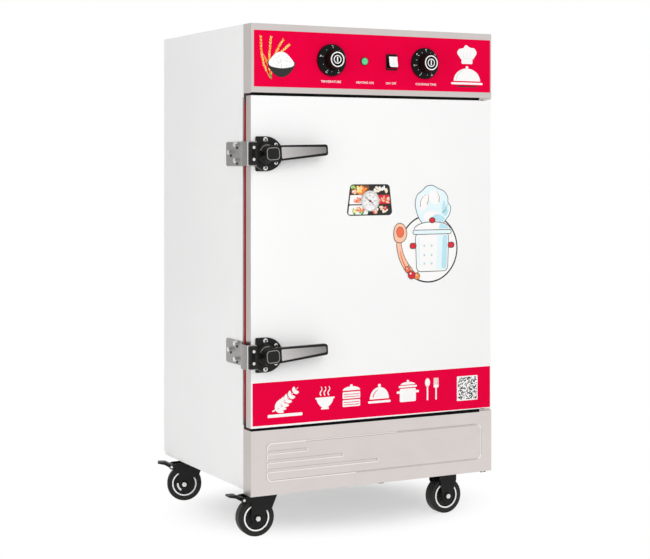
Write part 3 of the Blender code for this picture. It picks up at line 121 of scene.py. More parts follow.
def linear(code):
    """An sRGB hex colour as linear red, green, blue and alpha."""
    parts = [int(code[i:i + 2], 16) / 255 for i in (0, 2, 4)]
    return tuple(c / 12.92 if c <= 0.04045 else ((c + 0.055) / 1.055) ** 2.4 for c in parts) + (1.0,)


def add_node(tree, kind, inputs=None, **settings):
    """One node with its settings, and with values or links for its inputs."""
    node = tree.nodes.new(kind)
    for name, value in settings.items():
        setattr(node, name, value)
    for name, value in (inputs or {}).items():
        if isinstance(value, bpy.types.NodeSocket):
            tree.links.new(value, node.inputs[name])
        else:
            node.inputs[name].default_value = value
    return node


def eye_or_mirror(tree):
    """The light path node, and a socket that is 1 for rays from the camera or off a gloss."""
    rays = add_node(tree, "ShaderNodeLightPath")
    either = add_node(tree, "ShaderNodeMath", {0: rays.outputs["Is Camera Ray"], 1: rays.outputs["Is Glossy Ray"]},
                      operation="MAXIMUM")
    return rays, either.outputs[0]


def noise(tree, size_mm, detail):
    """A noise in the object's own space, with features of a size in millimetres."""
    where = add_node(tree, "ShaderNodeTexCoord")
    made = add_node(tree, "ShaderNodeTexNoise",
                    {"Vector": where.outputs["Object"], "Scale": per_mm(size_mm), "Detail": detail})
    return made.outputs[0]


def per_mm(size):
    """The texture scale that gives features of this size in millimetres."""
    return 1.0 / (size * MM)


print("white paper as linear", linear("FFFFFF")[:3])

# %% World
SOFT_LEVEL = 0.62
WALLS = ((0.0, 0.70), (0.34, 0.72), (0.46, 1.0), (0.66, 1.0), (0.80, 0.84))
world = bpy.data.worlds.new("studio")
scene.world = world
world.use_nodes = True
sky = world.node_tree
sky.nodes.clear()
rays, either = eye_or_mirror(sky)
seen = add_node(sky, "ShaderNodeMath", {0: either, 1: rays.outputs["Is Transmission Ray"]}, operation="MAXIMUM")
soft_level = add_node(sky, "ShaderNodeMapRange", {"Value": seen.outputs[0], "To Min": SOFT_LEVEL, "To Max": 1.0})
heading = add_node(sky, "ShaderNodeTexCoord")
eastward = add_node(sky, "ShaderNodeSeparateXYZ", {0: heading.outputs["Generated"]})
turned = add_node(sky, "ShaderNodeMapRange", {"Value": eastward.outputs["X"], "From Min": -1.0, "From Max": 1.0})
walls = add_node(sky, "ShaderNodeValToRGB", {"Fac": turned.outputs[0]})
for extra in WALLS[2:]:
    walls.color_ramp.elements.new(extra[0])
for stop, (place, level) in zip(walls.color_ramp.elements, WALLS):
    stop.position = place
    stop.color = (level, level, level, 1.0)
mirror = add_node(sky, "ShaderNodeMix", {0: rays.outputs["Is Glossy Ray"], 6: linear("FFFFFF"), 7: walls.outputs[0]},
                  data_type="RGBA")
paper_sky = add_node(sky, "ShaderNodeBackground", {"Color": mirror.outputs[2], "Strength": soft_level.outputs[0]})
add_node(sky, "ShaderNodeOutputWorld", {"Surface": paper_sky.outputs[0]})
print("world with", len(sky.nodes), "nodes")

# %% Lamps


def add_lamp(name, place, aim, size, watts, mirrored=False):
    """A rectangular area lamp that looks at a point."""
    data = bpy.data.lights.new(name, "AREA")
    data.shape = "RECTANGLE"
    data.size, data.size_y = size
    data.energy = watts
    lamp = bpy.data.objects.new(name, data)
    lamp.location = place
    lamp.rotation_euler = (Vector(aim) - Vector(place)).to_track_quat("-Z", "Y").to_euler()
    lamp.visible_glossy = mirrored
    scene.collection.objects.link(lamp)


add_lamp("front_softbox", (-0.5, -3.4, 2.2), (0.0, 0.0, 0.7), (2.4, 2.0), 42.3)
add_lamp("left_softbox", (-3.2, -1.6, 1.1), (0.0, 0.0, 0.6), (1.8, 2.2), 27.5)
add_lamp("rim_softbox", (3.0, 0.2, 1.2), (0.0, -0.3, 0.6), (0.6, 1.6), 8.0, mirrored=True)

# %% Floor
FLOOR_REACH = 6.0
SHADE_MIDDLE, SHADE_REACH = (0.03, 0.0), (0.44, 0.34)
FADE_START, FADE_END = 0.48, 1.12
SELF_LIT = 0.37
shape = bmesh.new()
bmesh.ops.create_circle(shape, cap_ends=True, segments=64, radius=FLOOR_REACH)
floor_mesh = bpy.data.meshes.new("floor")
shape.to_mesh(floor_mesh)
shape.free()
floor = bpy.data.objects.new("floor", floor_mesh)
scene.collection.objects.link(floor)
paper = bpy.data.materials.new("white_paper")
paper.use_nodes = True
tree = paper.node_tree
tree.nodes.clear()
spot = add_node(tree, "ShaderNodeTexCoord")
per_reach = [1 / r for r in SHADE_REACH] + [0.0]
shift = [-m / r for m, r in zip(SHADE_MIDDLE, SHADE_REACH)] + [0.0]
scaled = add_node(tree, "ShaderNodeVectorMath", {0: spot.outputs["Object"], 1: per_reach, 2: shift},
                  operation="MULTIPLY_ADD")
away = add_node(tree, "ShaderNodeVectorMath", {0: scaled.outputs[0]}, operation="LENGTH")
fade = add_node(tree, "ShaderNodeMapRange", {"Value": away.outputs["Value"], "From Min": FADE_START,
                "From Max": FADE_END, "To Min": SELF_LIT}, interpolation_type="SMOOTHSTEP")
matt = add_node(tree, "ShaderNodeBsdfDiffuse", {"Color": linear("F8F8F8")})
glow = add_node(tree, "ShaderNodeEmission", {"Color": linear("FFFFFF"), "Strength": 1.0})
rays, either = eye_or_mirror(tree)
share = add_node(tree, "ShaderNodeMath", {0: fade.outputs[0], 1: either}, operation="MULTIPLY")
blend = add_node(tree, "ShaderNodeMixShader", {0: share.outputs[0], 1: matt.outputs[0], 2: glow.outputs[0]})
add_node(tree, "ShaderNodeOutputMaterial", {"Surface": blend.outputs[0]})
floor_mesh.materials.append(paper)
print("floor reaches", FLOOR_REACH, "m")

# %% [markdown]
# ## Finishes
#
# Each finish starts from the real stuff: what it is, and how its surface was made. Constants sit on
# the shader's own sockets. A pattern's scale comes from a size in millimetres: a noise of scale 1000
# has features of about one millimetre, because the object is in metres.

# %% Finish helpers


def new_finish(name, code, roughness, **sockets):
    """A principled shader with its constants set on its own sockets."""
    made = bpy.data.materials.new(name)
    made.use_nodes = True
    shader = made.node_tree.nodes["Principled BSDF"]
    shader.inputs["Base Color"].default_value = linear(code)
    shader.inputs["Roughness"].default_value = roughness
    for socket, value in sockets.items():
        shader.inputs[socket.replace("_", " ")].default_value = value
    made.diffuse_color = linear(code)
    return made, made.node_tree, shader


def vary_colour(tree, shader, pattern, dark, light):
    """The base colour runs from one hex colour to another along a pattern."""
    mix = add_node(tree, "ShaderNodeMix", {0: pattern, 6: linear(dark), 7: linear(light)}, data_type="RGBA")
    tree.links.new(mix.outputs[2], shader.inputs["Base Color"])


def vary_roughness(tree, shader, pattern, smooth, rough):
    """The roughness runs from smooth to rough along a pattern."""
    spread = add_node(tree, "ShaderNodeMapRange", {"Value": pattern, "To Min": smooth, "To Max": rough})
    tree.links.new(spread.outputs[0], shader.inputs["Roughness"])


def raise_relief(tree, shader, pattern, height_mm, strength):
    """A bump along a pattern."""
    bump = add_node(tree, "ShaderNodeBump", {"Strength": strength, "Distance": height_mm * MM, "Height": pattern})
    tree.links.new(bump.outputs[0], shader.inputs["Normal"])


finishes = {}
print("scale for 1 mm features:", per_mm(1.0))

# %% [markdown]
# **White enamel** is a thick white paint, sprayed on the case and baked. It levels out nearly flat
# and keeps a faint orange peel a few millimetres across, which the eye reads in the highlights.

# %% White enamel
finishes["white_enamel"], tree, shader = new_finish(
    "white_enamel", "F2F2F1", 0.34, Coat_Weight=0.25, Coat_Roughness=0.12)
clouds = noise(tree, 220.0, 2.0)
vary_colour(tree, shader, clouds, "EFEFEF", "F4F4F3")
vary_roughness(tree, shader, clouds, 0.30, 0.38)
raise_relief(tree, shader, noise(tree, 3.0, 2.0), 0.02, 0.5)
print("white enamel: peel 3 mm")

# %% [markdown]
# **Brushed stainless steel** is rolled, then ground along the sheet, so it has fine scratches in
# one direction. Real scratches are 0.05 mm wide, too fine to show, so they are drawn 1 mm wide and
# 90 mm long. Trays and the lining are the same steel with a duller mill finish.

# %% Brushed stainless steel


def brushed(name, dark, light, smooth, rough, along):
    """Steel with fine scratches along one axis, and cloudy patches under them."""
    finishes[name], tree, shader = new_finish(name, light, rough, Metallic=1.0)
    where = add_node(tree, "ShaderNodeTexCoord")
    stretch = {"x": (90.0, 1.0, 1.0), "y": (1.0, 90.0, 1.0), "z": (1.0, 1.0, 90.0)}[along]
    lines = add_node(tree, "ShaderNodeVectorMath",
                     {0: where.outputs["Object"], 1: [per_mm(s) for s in stretch]}, operation="MULTIPLY")
    grain = add_node(tree, "ShaderNodeTexNoise", {"Vector": lines.outputs[0], "Scale": 1.0, "Detail": 3.0})
    both = add_node(tree, "ShaderNodeMix", {0: 0.45, 2: grain.outputs[0], 3: noise(tree, 60.0, 3.0)})
    vary_colour(tree, shader, both.outputs[0], dark, light)
    vary_roughness(tree, shader, grain.outputs[0], smooth, rough)
    raise_relief(tree, shader, grain.outputs[0], 0.02, 0.35)


# Two steels in this table are painted light: the brightest gives painted highlight, and a darker one painted shade,
# along the foot panel's edges. The lever insert is darkened towards its tip further on, as a painted reflection.
for made in (("brushed_stainless", "D3CBC8", "E6DFDC", 0.30, 0.44, "x"),
             ("painted_highlight_steel", "ECE8E6", "FAF8F7", 0.16, 0.26, "x"),
             ("painted_shade_steel", "AEA6A3", "BFB7B4", 0.30, 0.44, "x"),
             ("upright_stainless", "BDB6B2", "D6D0CC", 0.30, 0.44, "z"),
             ("mill_stainless", "BEBAB7", "CDC9C6", 0.36, 0.50, "y"),
             ("dark_stainless", "8E8C8A", "ABA9A6", 0.22, 0.34, "x"),
             ("lever_insert", "C2BFBD", "D6D3D1", 0.24, 0.34, "x")):
    brushed(*made)
print("steels", [name for name in finishes if "stainless" in name])

# %% [markdown]
# **Moulded and painted blacks** differ in their sheen. Glass-filled nylon has a fine spark-eroded
# texture, ABS knobs are smoother, powder coat on the casters is pebbled, and polyurethane treads
# are satin with dust in them. The red gasket, the white key, the foam, the brass and the zinc
# plated steel are made the same way, with their own pores.

# %% Moulded, painted and plated skins


def pebbled(name, dark, light, smooth, rough, size_mm, depth_mm, specular=0.5, metallic=0.0):
    """A skin with pores or dust of a size and depth."""
    finishes[name], tree, shader = new_finish(name, light, rough, Specular_IOR_Level=specular, Metallic=metallic)
    pores = noise(tree, size_mm, 3.0)
    vary_colour(tree, shader, pores, dark, light)
    vary_roughness(tree, shader, pores, smooth, rough)
    raise_relief(tree, shader, pores, depth_mm, 0.6)


for made in (("black_nylon", "0E0E0E", "1B1A19", 0.34, 0.50, 0.9, 0.06, 0.25),
             ("black_abs", "060706", "0F110F", 0.20, 0.30, 0.7, 0.02, 0.12),
             ("black_powder_coat", "0A0A0A", "171717", 0.30, 0.42, 1.4, 0.05, 0.22),
             ("polyurethane_tread", "121211", "242321", 0.45, 0.62, 2.4, 0.05, 0.3),
             ("red_silicone", "C80020", "EC0428", 0.42, 0.58, 1.6, 0.03, 0.03),
             ("white_abs", "EFEDEE", "F6F4F5", 0.22, 0.32, 1.2, 0.01),
             ("insulating_foam", "D2B878", "E8D49C", 0.80, 0.95, 3.0, 0.40),
             ("turned_brass", "B08A3C", "CDA854", 0.22, 0.34, 0.8, 0.02, 0.5, 1.0),
             # The black strip skin paints the shade in the gaps round the door.
             ("black_rubber_strip", "060606", "0C0C0C", 0.6, 0.8, 1.5, 0.03, 0.1),
             ("dipped_red_vinyl", "B00812", "CC101C", 0.30, 0.42, 1.5, 0.03),
             ("zinc_plated_steel", "D6D6D4", "EFEFED", 0.18, 0.30, 1.2, 0.03, 0.5, 1.0),
             # The light grey nylon paints highlights on the latches.
             ("highlight_nylon", "6E6B69", "A8A5A3", 0.30, 0.42, 1.2, 0.03)):
    pebbled(*made)
print("finishes so far", len(finishes))

# %% [markdown]
# **Printed polyester film** is stuck on the head and along the foot of the door. It is a smooth
# clear sheet with ink behind it, so it has an even colour and a soft gloss. The green lens is
# polycarbonate, moulded smooth and lit from behind.

# %% Film, lens and glass
finishes["red_film"], tree, shader = new_finish("red_film", "E4003C", 0.36, Specular_IOR_Level=0.03)
ink_flow = noise(tree, 45.0, 2.0)
vary_colour(tree, shader, ink_flow, "E0003A", "E80040")
vary_roughness(tree, shader, ink_flow, 0.32, 0.42)
finishes["green_polycarbonate"], tree, shader = new_finish(
    "green_polycarbonate", "46CC84", 0.14, Coat_Weight=0.6, Coat_Roughness=0.05,
    Emission_Color=linear("3FCB80"), Emission_Strength=0.12)
vary_colour(tree, shader, noise(tree, 4.0, 1.0), "2FB870", "5EDC98")
finishes["clear_glass"] = new_finish("clear_glass", "FFFFFF", 0.03, Transmission_Weight=1.0, IOR=1.45, Alpha=0.25)[0]
print("film, lens and glass made")

# %% [markdown]
# **Screen inks** are flat matt colours with the faint grain of the mesh they are pushed through.
# One table holds their colours, so every print draws from the same tins.

# %% Inks


def new_ink(name, code):
    """Screen ink: a flat colour with the faint grain of the mesh it was pushed through."""
    finishes[name], tree, shader = new_finish(f"ink_{name}", code, 0.42)
    screen = noise(tree, 2.0, 1.0)
    vary_roughness(tree, shader, screen, 0.36, 0.50)
    raise_relief(tree, shader, screen, 0.01, 0.3)


INKS = {
    "white": "F6F5F4", "black": "151514", "grey": "8B8C8D", "pale_grey": "D4D6D7", "sky": "B7E1EC",
    "pale_sky": "E2F3F7", "peach": "F6BFA0", "orange": "F08A3A", "coral": "EE6A4A", "red": "D3182B",
    "gold": "F4B63A", "straw": "F8DA74", "green": "4C9A3F", "leaf": "8BBF4A", "brown": "7A4426",
    "plum": "6B2436", "cream": "F4E6C8", "ring_white": "FFFFFF",
}
for name, code in INKS.items():
    new_ink(name, code)
print("inks", len(INKS))

# %% [markdown]
# ## Dressing the CAD solids
#
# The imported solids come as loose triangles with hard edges. Real sheet has a small radius at each
# fold, which catches a line of light. A small node group welds the triangles, and a bevel modifier
# rounds the edges. The mesh itself stays as it is.

# %% Welding group and the dress helper
SHARP = math.radians(32)
weld = bpy.data.node_groups.new("weld_triangles", "GeometryNodeTree")
weld.interface.new_socket("Geometry", in_out="INPUT", socket_type="NodeSocketGeometry")
weld.interface.new_socket("Geometry", in_out="OUTPUT", socket_type="NodeSocketGeometry")
given = add_node(weld, "NodeGroupInput")
plain = add_node(weld, "GeometryNodeRemoveAttribute", {"Geometry": given.outputs[0], "Name": "custom_normal"})
joined = add_node(weld, "GeometryNodeMergeByDistance", {"Geometry": plain.outputs[0], "Distance": 0.01 * MM})
smooth = add_node(weld, "GeometryNodeSetShadeSmooth", {"Geometry": joined.outputs[0], "Shade Smooth": True},
                  domain="FACE")
angle = add_node(weld, "GeometryNodeInputMeshEdgeAngle")
gentle = add_node(weld, "FunctionNodeCompare", {0: angle.outputs["Unsigned Angle"], 1: SHARP},
                  data_type="FLOAT", operation="LESS_THAN")
creased = add_node(weld, "GeometryNodeSetShadeSmooth",
                   {"Geometry": smooth.outputs[0], "Shade Smooth": gentle.outputs[0]}, domain="EDGE")
add_node(weld, "NodeGroupOutput", {0: creased.outputs[0]})


def round_edges(piece, width_mm, segments=2):
    """A bevel on every edge sharper than the sharp limit."""
    edge = piece.modifiers.new("rounded_edges", "BEVEL")
    edge.width = width_mm * MM
    edge.segments = segments
    edge.limit_method = "ANGLE"
    edge.angle_limit = SHARP
    edge.harden_normals = True
    edge.use_clamp_overlap = True


def dress(node, finish, edge_mm=0.0):
    """A CAD node gets its finish, welded shading and rounded edges."""
    piece = frame["nodes"][node]
    for slot in piece.material_slots:
        slot.material = finishes[finish]
    piece.modifiers.new("weld", "NODES").node_group = weld
    if edge_mm:
        flat = piece.modifiers.new("whole_faces", "DECIMATE")
        flat.decimate_type = "DISSOLVE"
        flat.angle_limit = math.radians(1.0)
        round_edges(piece, edge_mm)


print("weld group has", len(weld.nodes), "nodes")

# %% Which finish each solid gets
LATCHES = {"upper": 941.0, "lower": 451.0}
CORNERS = ("front_left", "rear_left", "front_right", "rear_right")
DRESSED = {
    "white_enamel": (0.5, ["side_panel_left", "side_panel_right", "top_panel", "back_panel", "door_skin", "chassis"]),
    "brushed_stainless": (0.5, ["control_fascia", "base_panel", "front_frame", "hinge_top", "hinge_bottom"]),
    "upright_stainless": (0.4, ["door_pan"]),
    "mill_stainless": (0.3, ["chamber_liner", "water_tank", "door_liner", "tray_rack_left", "tray_rack_right",
                             "heating_element"] + [f"tray_{n}" for n in range(1, 7)]),
    "black_nylon": (0.4, ["cable_gland", "thermostat_body", "timer_body", "power_switch_body"]),
    "turned_brass": (0.3, ["float_valve", "float_arm"]),
    "dark_stainless": (0.3, ["drain_valve"]),
    "dipped_red_vinyl": (0.8, ["drain_lever"]),
    "insulating_foam": (0.0, ["insulation"]),
    "red_silicone": (0.0, ["door_gasket"]),
    "zinc_plated_steel": (0.4, ["thermometer_case"]),
    "plum": (0.0, ["thermometer_needle"]),
}
for finish, (edge_mm, members) in DRESSED.items():
    for node in members:
        dress(node, finish, edge_mm)
for which in LATCHES:
    dress(f"latch_base_{which}", "black_nylon")
    dress(f"strike_pad_{which}", "black_nylon")
    dress(f"strike_{which}", "dark_stainless", 0.4)
for corner in CORNERS:
    dress(f"caster_fork_{corner}", "black_powder_coat", 0.5)
    if "left" in corner:
        dress(f"caster_plate_{corner}", "black_powder_coat", 0.4)
        dress(f"brake_pedal_{corner}", "black_nylon", 0.5)
print("dressed", len([piece for piece in frame["nodes"].values() if "weld" in piece.modifiers]), "solids")

# %% [markdown]
# ## Tools for new pieces
#
# Every new piece is drawn in a bmesh in cabinet millimetres: flat patches of ink, slabs with a
# thickness, turned bodies, and lettering. Outlines are lists of x and z as seen from the front.

# %% Outlines


def oval(x, z, across, up=None, turn=0.0, steps=40):
    """A closed ellipse, turned about its middle."""
    up = across if up is None else up
    lean = Matrix.Rotation(math.radians(turn), 2)
    points = []
    for i in range(steps):
        a = math.tau * i / steps
        point = lean @ Vector((across * math.cos(a), up * math.sin(a)))
        points.append((x + point.x, z + point.y))
    return points


def rounded(corners, radius, steps=5):
    """A polygon, given counterclockwise, with its corners rounded off."""
    points = []
    for i, corner in enumerate(corners):
        here = Vector(corner)
        before = (Vector(corners[i - 1]) - here).normalized()
        after = (Vector(corners[(i + 1) % len(corners)]) - here).normalized()
        half = before.angle(after) / 2
        reach = radius / math.tan(half)
        centre = here + (before + after).normalized() * radius / math.sin(half)
        start, end = here + before * reach - centre, here + after * reach - centre
        sweep = start.angle_signed(end)
        for k in range(steps + 1):
            arm = start.copy()
            arm.rotate(Matrix.Rotation(-sweep * k / steps, 2))
            points.append(tuple(centre + arm))
    return points


def panel(left, right, foot, top, radius):
    """A rectangle with round corners."""
    return rounded([(left, foot), (right, foot), (right, top), (left, top)], radius)


def smooth_loop(knots, steps=6):
    """A smooth closed line through its knots."""
    points = []
    count = len(knots)
    for i in range(count):
        p0, p1, p2, p3 = (Vector(knots[(i + k - 1) % count]) for k in range(4))
        for k in range(steps):
            t = k / steps
            points.append(tuple(0.5 * ((2 * p1) + (p2 - p0) * t + (2 * p0 - 5 * p1 + 4 * p2 - p3) * t ** 2
                                       + (3 * p1 - p0 - 3 * p2 + p3) * t ** 3)))
    return points


print("a 10 mm panel has", len(panel(0, 10, 0, 10, 2)), "points")

# %% Lines, strokes and leaves


def arc(x, z, across, start, end, steps, up=None):
    """Points along an ellipse from one angle in degrees to another, both ends included."""
    up = across if up is None else up
    turns = [math.radians(start + (end - start) * k / steps) for k in range(steps + 1)]
    return [(x + across * math.cos(a), z + up * math.sin(a)) for a in turns]


def spoke(x, z, reach, turn):
    """The point at a reach from a middle, in a direction in degrees."""
    return x + reach * math.cos(math.radians(turn)), z + reach * math.sin(math.radians(turn))


def stroke(line, width, end_width=None):
    """A brush stroke along a line, as an outline that may taper."""
    end_width = width if end_width is None else end_width
    left, right = [], []
    for i, point in enumerate(line):
        ahead = Vector(line[min(i + 1, len(line) - 1)]) - Vector(line[max(i - 1, 0)])
        side = Vector((-ahead.y, ahead.x)).normalized()
        half = (width + (end_width - width) * i / (len(line) - 1)) / 2
        left.append(tuple(Vector(point) + side * half))
        right.append(tuple(Vector(point) - side * half))
    return right + left[::-1]


def bow(start, bend, end, steps=10):
    """A curved line from start to end, drawn towards bend."""
    a, b, c = Vector(start), Vector(bend), Vector(end)
    return [tuple(a * (1 - t) ** 2 + b * 2 * t * (1 - t) + c * t ** 2) for t in (k / steps for k in range(steps + 1))]


def heading_at(line, i):
    """The direction in degrees in which a line comes to its point i."""
    ahead = Vector(line[i]) - Vector(line[i - 1])
    return math.degrees(math.atan2(ahead.y, ahead.x))


def leaf(x, z, length, width, turn):
    """A pointed oval that starts at x, z."""
    line = [(length * t, width / 2 * math.sin(math.pi * t) ** 0.8) for t in (k / 8 for k in range(9))]
    points = line + [(u, -v) for u, v in line[-2:0:-1]]
    lean = Matrix.Rotation(math.radians(turn), 2)
    return [(x + (lean @ Vector(p)).x, z + (lean @ Vector(p)).y) for p in points]


print("an arc of 8 steps has", len(arc(0.0, 0.0, 1.0, 0, 90, 8)), "points")

# %% Patches, slabs and bands


def facing_viewer(outline):
    """The outline in the order that makes its face look forward."""
    area = sum(a[0] * b[1] - b[0] * a[1] for a, b in zip(outline, outline[1:] + outline[:1]))
    return outline if area > 0 else outline[::-1]


def patch(shape, outline, y, finish=0):
    """A flat film of ink at depth y."""
    face = shape.faces.new([shape.verts.new((x, y, z)) for x, z in facing_viewer(outline)])
    face.material_index = finish


def slab(shape, outline, front, back, finish=0):
    """A solid sheet between two depths."""
    outline = facing_viewer(outline)
    near = [shape.verts.new((x, front, z)) for x, z in outline]
    far = [shape.verts.new((x, back, z)) for x, z in outline]
    faces = [shape.faces.new(near), shape.faces.new(far[::-1])]
    count = len(outline)
    faces += [shape.faces.new((near[i - 1], far[i - 1], far[i], near[i])) for i in range(count)]
    for face in faces:
        face.material_index = finish


def band(shape, outer, inner, front, back, finish=0):
    """A frame between two outlines with the same number of points."""
    rings = [[shape.verts.new((x, y, z)) for x, z in line]
             for line, y in ((outer, front), (inner, front), (inner, back), (outer, back))]
    count = len(outer)
    for a, b in zip(rings, rings[1:] + rings[:1]):
        for i in range(count):
            face = shape.faces.new((a[i - 1], a[i], b[i], b[i - 1]))
            face.material_index = finish


print("seen from the front, this square stays as it is:", facing_viewer([(0, 0), (1, 0), (1, 1), (0, 1)]))

# %% Turned bodies
FORWARD = (0.0, -1.0, 0.0)


def upright_along(centre, axis):
    """A matrix that lays z along an axis, from a centre."""
    return Matrix.Translation(centre) @ Vector(axis).to_track_quat("Z", "Y").to_matrix().to_4x4()


def lathe(shape, profile, centre, axis=FORWARD, finish=0, steps=48, ribs=0, depth=0.0, ribbed=()):
    """Turns (radius, height) pairs round an axis. Ribbed rows are fluted, ribs times round."""
    stand = upright_along(centre, axis)
    rings = []
    for row, (radius, height) in enumerate(profile):
        if radius == 0.0:
            rings.append([shape.verts.new(stand @ Vector((0.0, 0.0, height)))])
            continue
        ring = []
        for i in range(steps):
            a = math.tau * i / steps
            r = radius - (depth * (0.5 - 0.5 * math.cos(ribs * a)) if row in ribbed else 0.0)
            ring.append(shape.verts.new(stand @ Vector((r * math.cos(a), r * math.sin(a), height))))
        rings.append(ring)
    for a, b in zip(rings, rings[1:]):
        for i in range(steps):
            corners = [a[i - 1] if len(a) > 1 else a[0], a[i] if len(a) > 1 else None,
                       b[i] if len(b) > 1 else b[0], b[i - 1] if len(b) > 1 else None]
            face = shape.faces.new([c for c in corners if c is not None])
            face.material_index = finish


print("a turned body points along", FORWARD, "unless told")

# %% Lettering


def words(shape, text, x, z, height, y, finish=0, width=None, bold=0.0, turn=0.0):
    """Flat lettering, centred on x and z. The width squeezes it to fit."""
    curve = bpy.data.curves.new("letters", "FONT")
    curve.body = text
    curve.size = 1.0
    curve.offset = bold
    curve.align_x, curve.align_y = "CENTER", "CENTER"
    curve.fill_mode = "FRONT"
    curve.resolution_u = 3
    holder = bpy.data.objects.new("letters", curve)
    scene.collection.objects.link(holder)
    data = bpy.data.meshes.new_from_object(holder.evaluated_get(bpy.context.evaluated_depsgraph_get()))
    bpy.data.objects.remove(holder)
    xs = [v.co.x for v in data.vertices]
    ys = [v.co.y for v in data.vertices]
    middle_x, middle_y = (min(xs) + max(xs)) / 2, (min(ys) + max(ys)) / 2
    up = height / (max(ys) - min(ys))
    across = up if width is None else width / (max(xs) - min(xs))
    lean = Matrix.Rotation(math.radians(turn), 2)
    shape.verts.ensure_lookup_table()
    shape.faces.ensure_lookup_table()
    first_vert, first_face = len(shape.verts), len(shape.faces)
    shape.from_mesh(data)
    bpy.data.meshes.remove(data)
    shape.verts.ensure_lookup_table()
    shape.faces.ensure_lookup_table()
    for vert in shape.verts[first_vert:]:
        spot = lean @ Vector(((vert.co.x - middle_x) * across, (vert.co.y - middle_y) * up))
        vert.co = (x + spot.x, y, z + spot.y)
    for face in shape.faces[first_face:]:
        face.material_index = finish
        face.normal_update()
        if face.normal.y > 0:
            face.normal_flip()


print("lettering in the built-in font")

# %% From a drawing to a piece of the scene


def finish_piece(name, shape, names, body, edge_mm=0.0, segments=2, closed=True, crease=32, stands_for=()):
    """Puts a drawn piece in the scene, in metres, and says what it rides on."""
    if closed:
        bmesh.ops.recalc_face_normals(shape, faces=shape.faces)
    shape.transform(TO_WORLD)
    data = bpy.data.meshes.new(name)
    shape.to_mesh(data)
    shape.free()
    for finish in names:
        data.materials.append(finishes[finish])
    data.shade_smooth()
    data.set_sharp_from_angle(angle=math.radians(crease))
    piece = bpy.data.objects.new(name, data)
    scene.collection.objects.link(piece)
    if edge_mm:
        round_edges(piece, edge_mm, segments)
    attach(piece, body)
    if stands_for:
        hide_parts(*stands_for)


def finish_print(name, shape, inks, body):
    """Puts a print in the scene, all of it facing the viewer."""
    finish_piece(name, shape, inks, body, closed=False)


print("finishes to choose from", len(finishes))

# %% [markdown]
# ## Films on the head and the door
#
# The real head carries one red polyester film from edge to edge, with the captions printed on it,
# and the door has a strip of the same film along its foot. Each is a thin slab with its own edge,
# so that it can be seen as a sticker in low light, and its prints lie on it in layers.

# %% The two red films
FILM = 0.3
INK = 0.12
HEAD_FILM = panel(-342.0, 346.0, 1104.6, 1242.5, 1.5)
DOOR_FILM = rounded([(-345.7, 278.5), (345.5, 275.0), (345.5, 383.0), (-345.7, 383.0)], 1.0)
for name, outline, body in (("head_film", HEAD_FILM, "cabinet"), ("door_film", DOOR_FILM, "door")):
    shape = bmesh.new()
    slab(shape, outline, -FILM, 0.1)
    finish_piece(name, shape, ["red_film"], body, 0.1, 1)
print("films", FILM, "mm thick")

# %% [markdown]
# **Seal strips** are black rubber lips that close the gap over and under the door. Each is a slab
# The gaps over and under the door lie in deep shade. Each is filled with a black slab, with a
# narrow lip in front, as painted shade. A dark line on the steel would look the same from the
# front, but it would vanish when the door swings open.

# %% Black strips of painted shade above and below the door
LEFT_END, RIGHT_END = -349.5, 312.0
TOP_LIP = panel(LEFT_END, RIGHT_END, 1086.6, 1090.4, 0.8)
BOTTOM_LIP = [(LEFT_END, 266.6), (RIGHT_END, 264.4), (RIGHT_END, 268.4), (LEFT_END, 268.4)]
for which, foot, top, lip in (("top", 1084.0, 1088.8, TOP_LIP), ("bottom", 267.2, 272.2, BOTTOM_LIP)):
    shape = bmesh.new()
    slab(shape, panel(LEFT_END, RIGHT_END, foot, top, 0.8), 2.0, 9.0)
    slab(shape, lip, -0.35, 2.2)
    finish_piece(f"gap_shade_strip_{which}", shape, ["black_rubber_strip"], "cabinet")
print("two gap shade strips")

# %% [markdown]
# ** Side edges.** The gap beside each gasket shows as a dark line along the side panel, drawn as a
# black strip of painted shade, and the foot panel's steel folds round onto the side. Both are drawn
# as slabs seen from the front, and one matrix turns them onto the side. It serves left and right,
# so the two can't differ.

# %% Painted shade beside the gaskets, and the folded returns of the foot panel
CASE_HALF = 350.0
for which, side in (("left", -1), ("right", 1)):
    on_side = (Matrix.Translation((side * CASE_HALF, 0.0, 0.0)) @ Matrix.Rotation(math.radians(90.0 * side), 4, "Z")
               @ Matrix.Scale(side, 4, (1.0, 0.0, 0.0)))
    for name, outline, out, deep_in, finish, slot in (
            ("gasket_gap_shade", panel(43.9, 46.1, 276.0, 1080.0, 0.8), -0.3, 0.1, "black_rubber_strip", "black_rubber"),
            ("foot_return", panel(0.9, 43.2, 107.6, 266.4, 0.8), -0.2, 0.3, "upright_stainless", "brushed_stainless")):
        shape = bmesh.new()
        slab(shape, outline, out, deep_in)
        shape.transform(on_side)
        finish_piece(f"{name}_{which}", shape, [finish], "cabinet")
print("gap shades and returns")

# %% [markdown]
# **Prints on the head.** A printer lays ink on ink. The prints are built in the same way, in flat
# patches, with each layer 0.12 mm in front of the last one. A picture on the film would be less
# work, but its edges would blur close up.

# %% Captions on the head
shape = bmesh.new()
CONTROL_Z = 1175.0
CAPTIONS = [("TEMPERATURE", -130.0, 57.0), ("HEATING ON", -33.0, 50.0), ("ON / OFF", 43.0, 30.0),
            ("COOKING TIME", 147.0, 62.0)]
for text, x, width in CAPTIONS:
    words(shape, text, x, 1121.5, 5.6, -FILM - INK, 0, width, 0.012)
finish_print("head_captions", shape, ["white"], "cabinet")
print("captions", len(CAPTIONS))

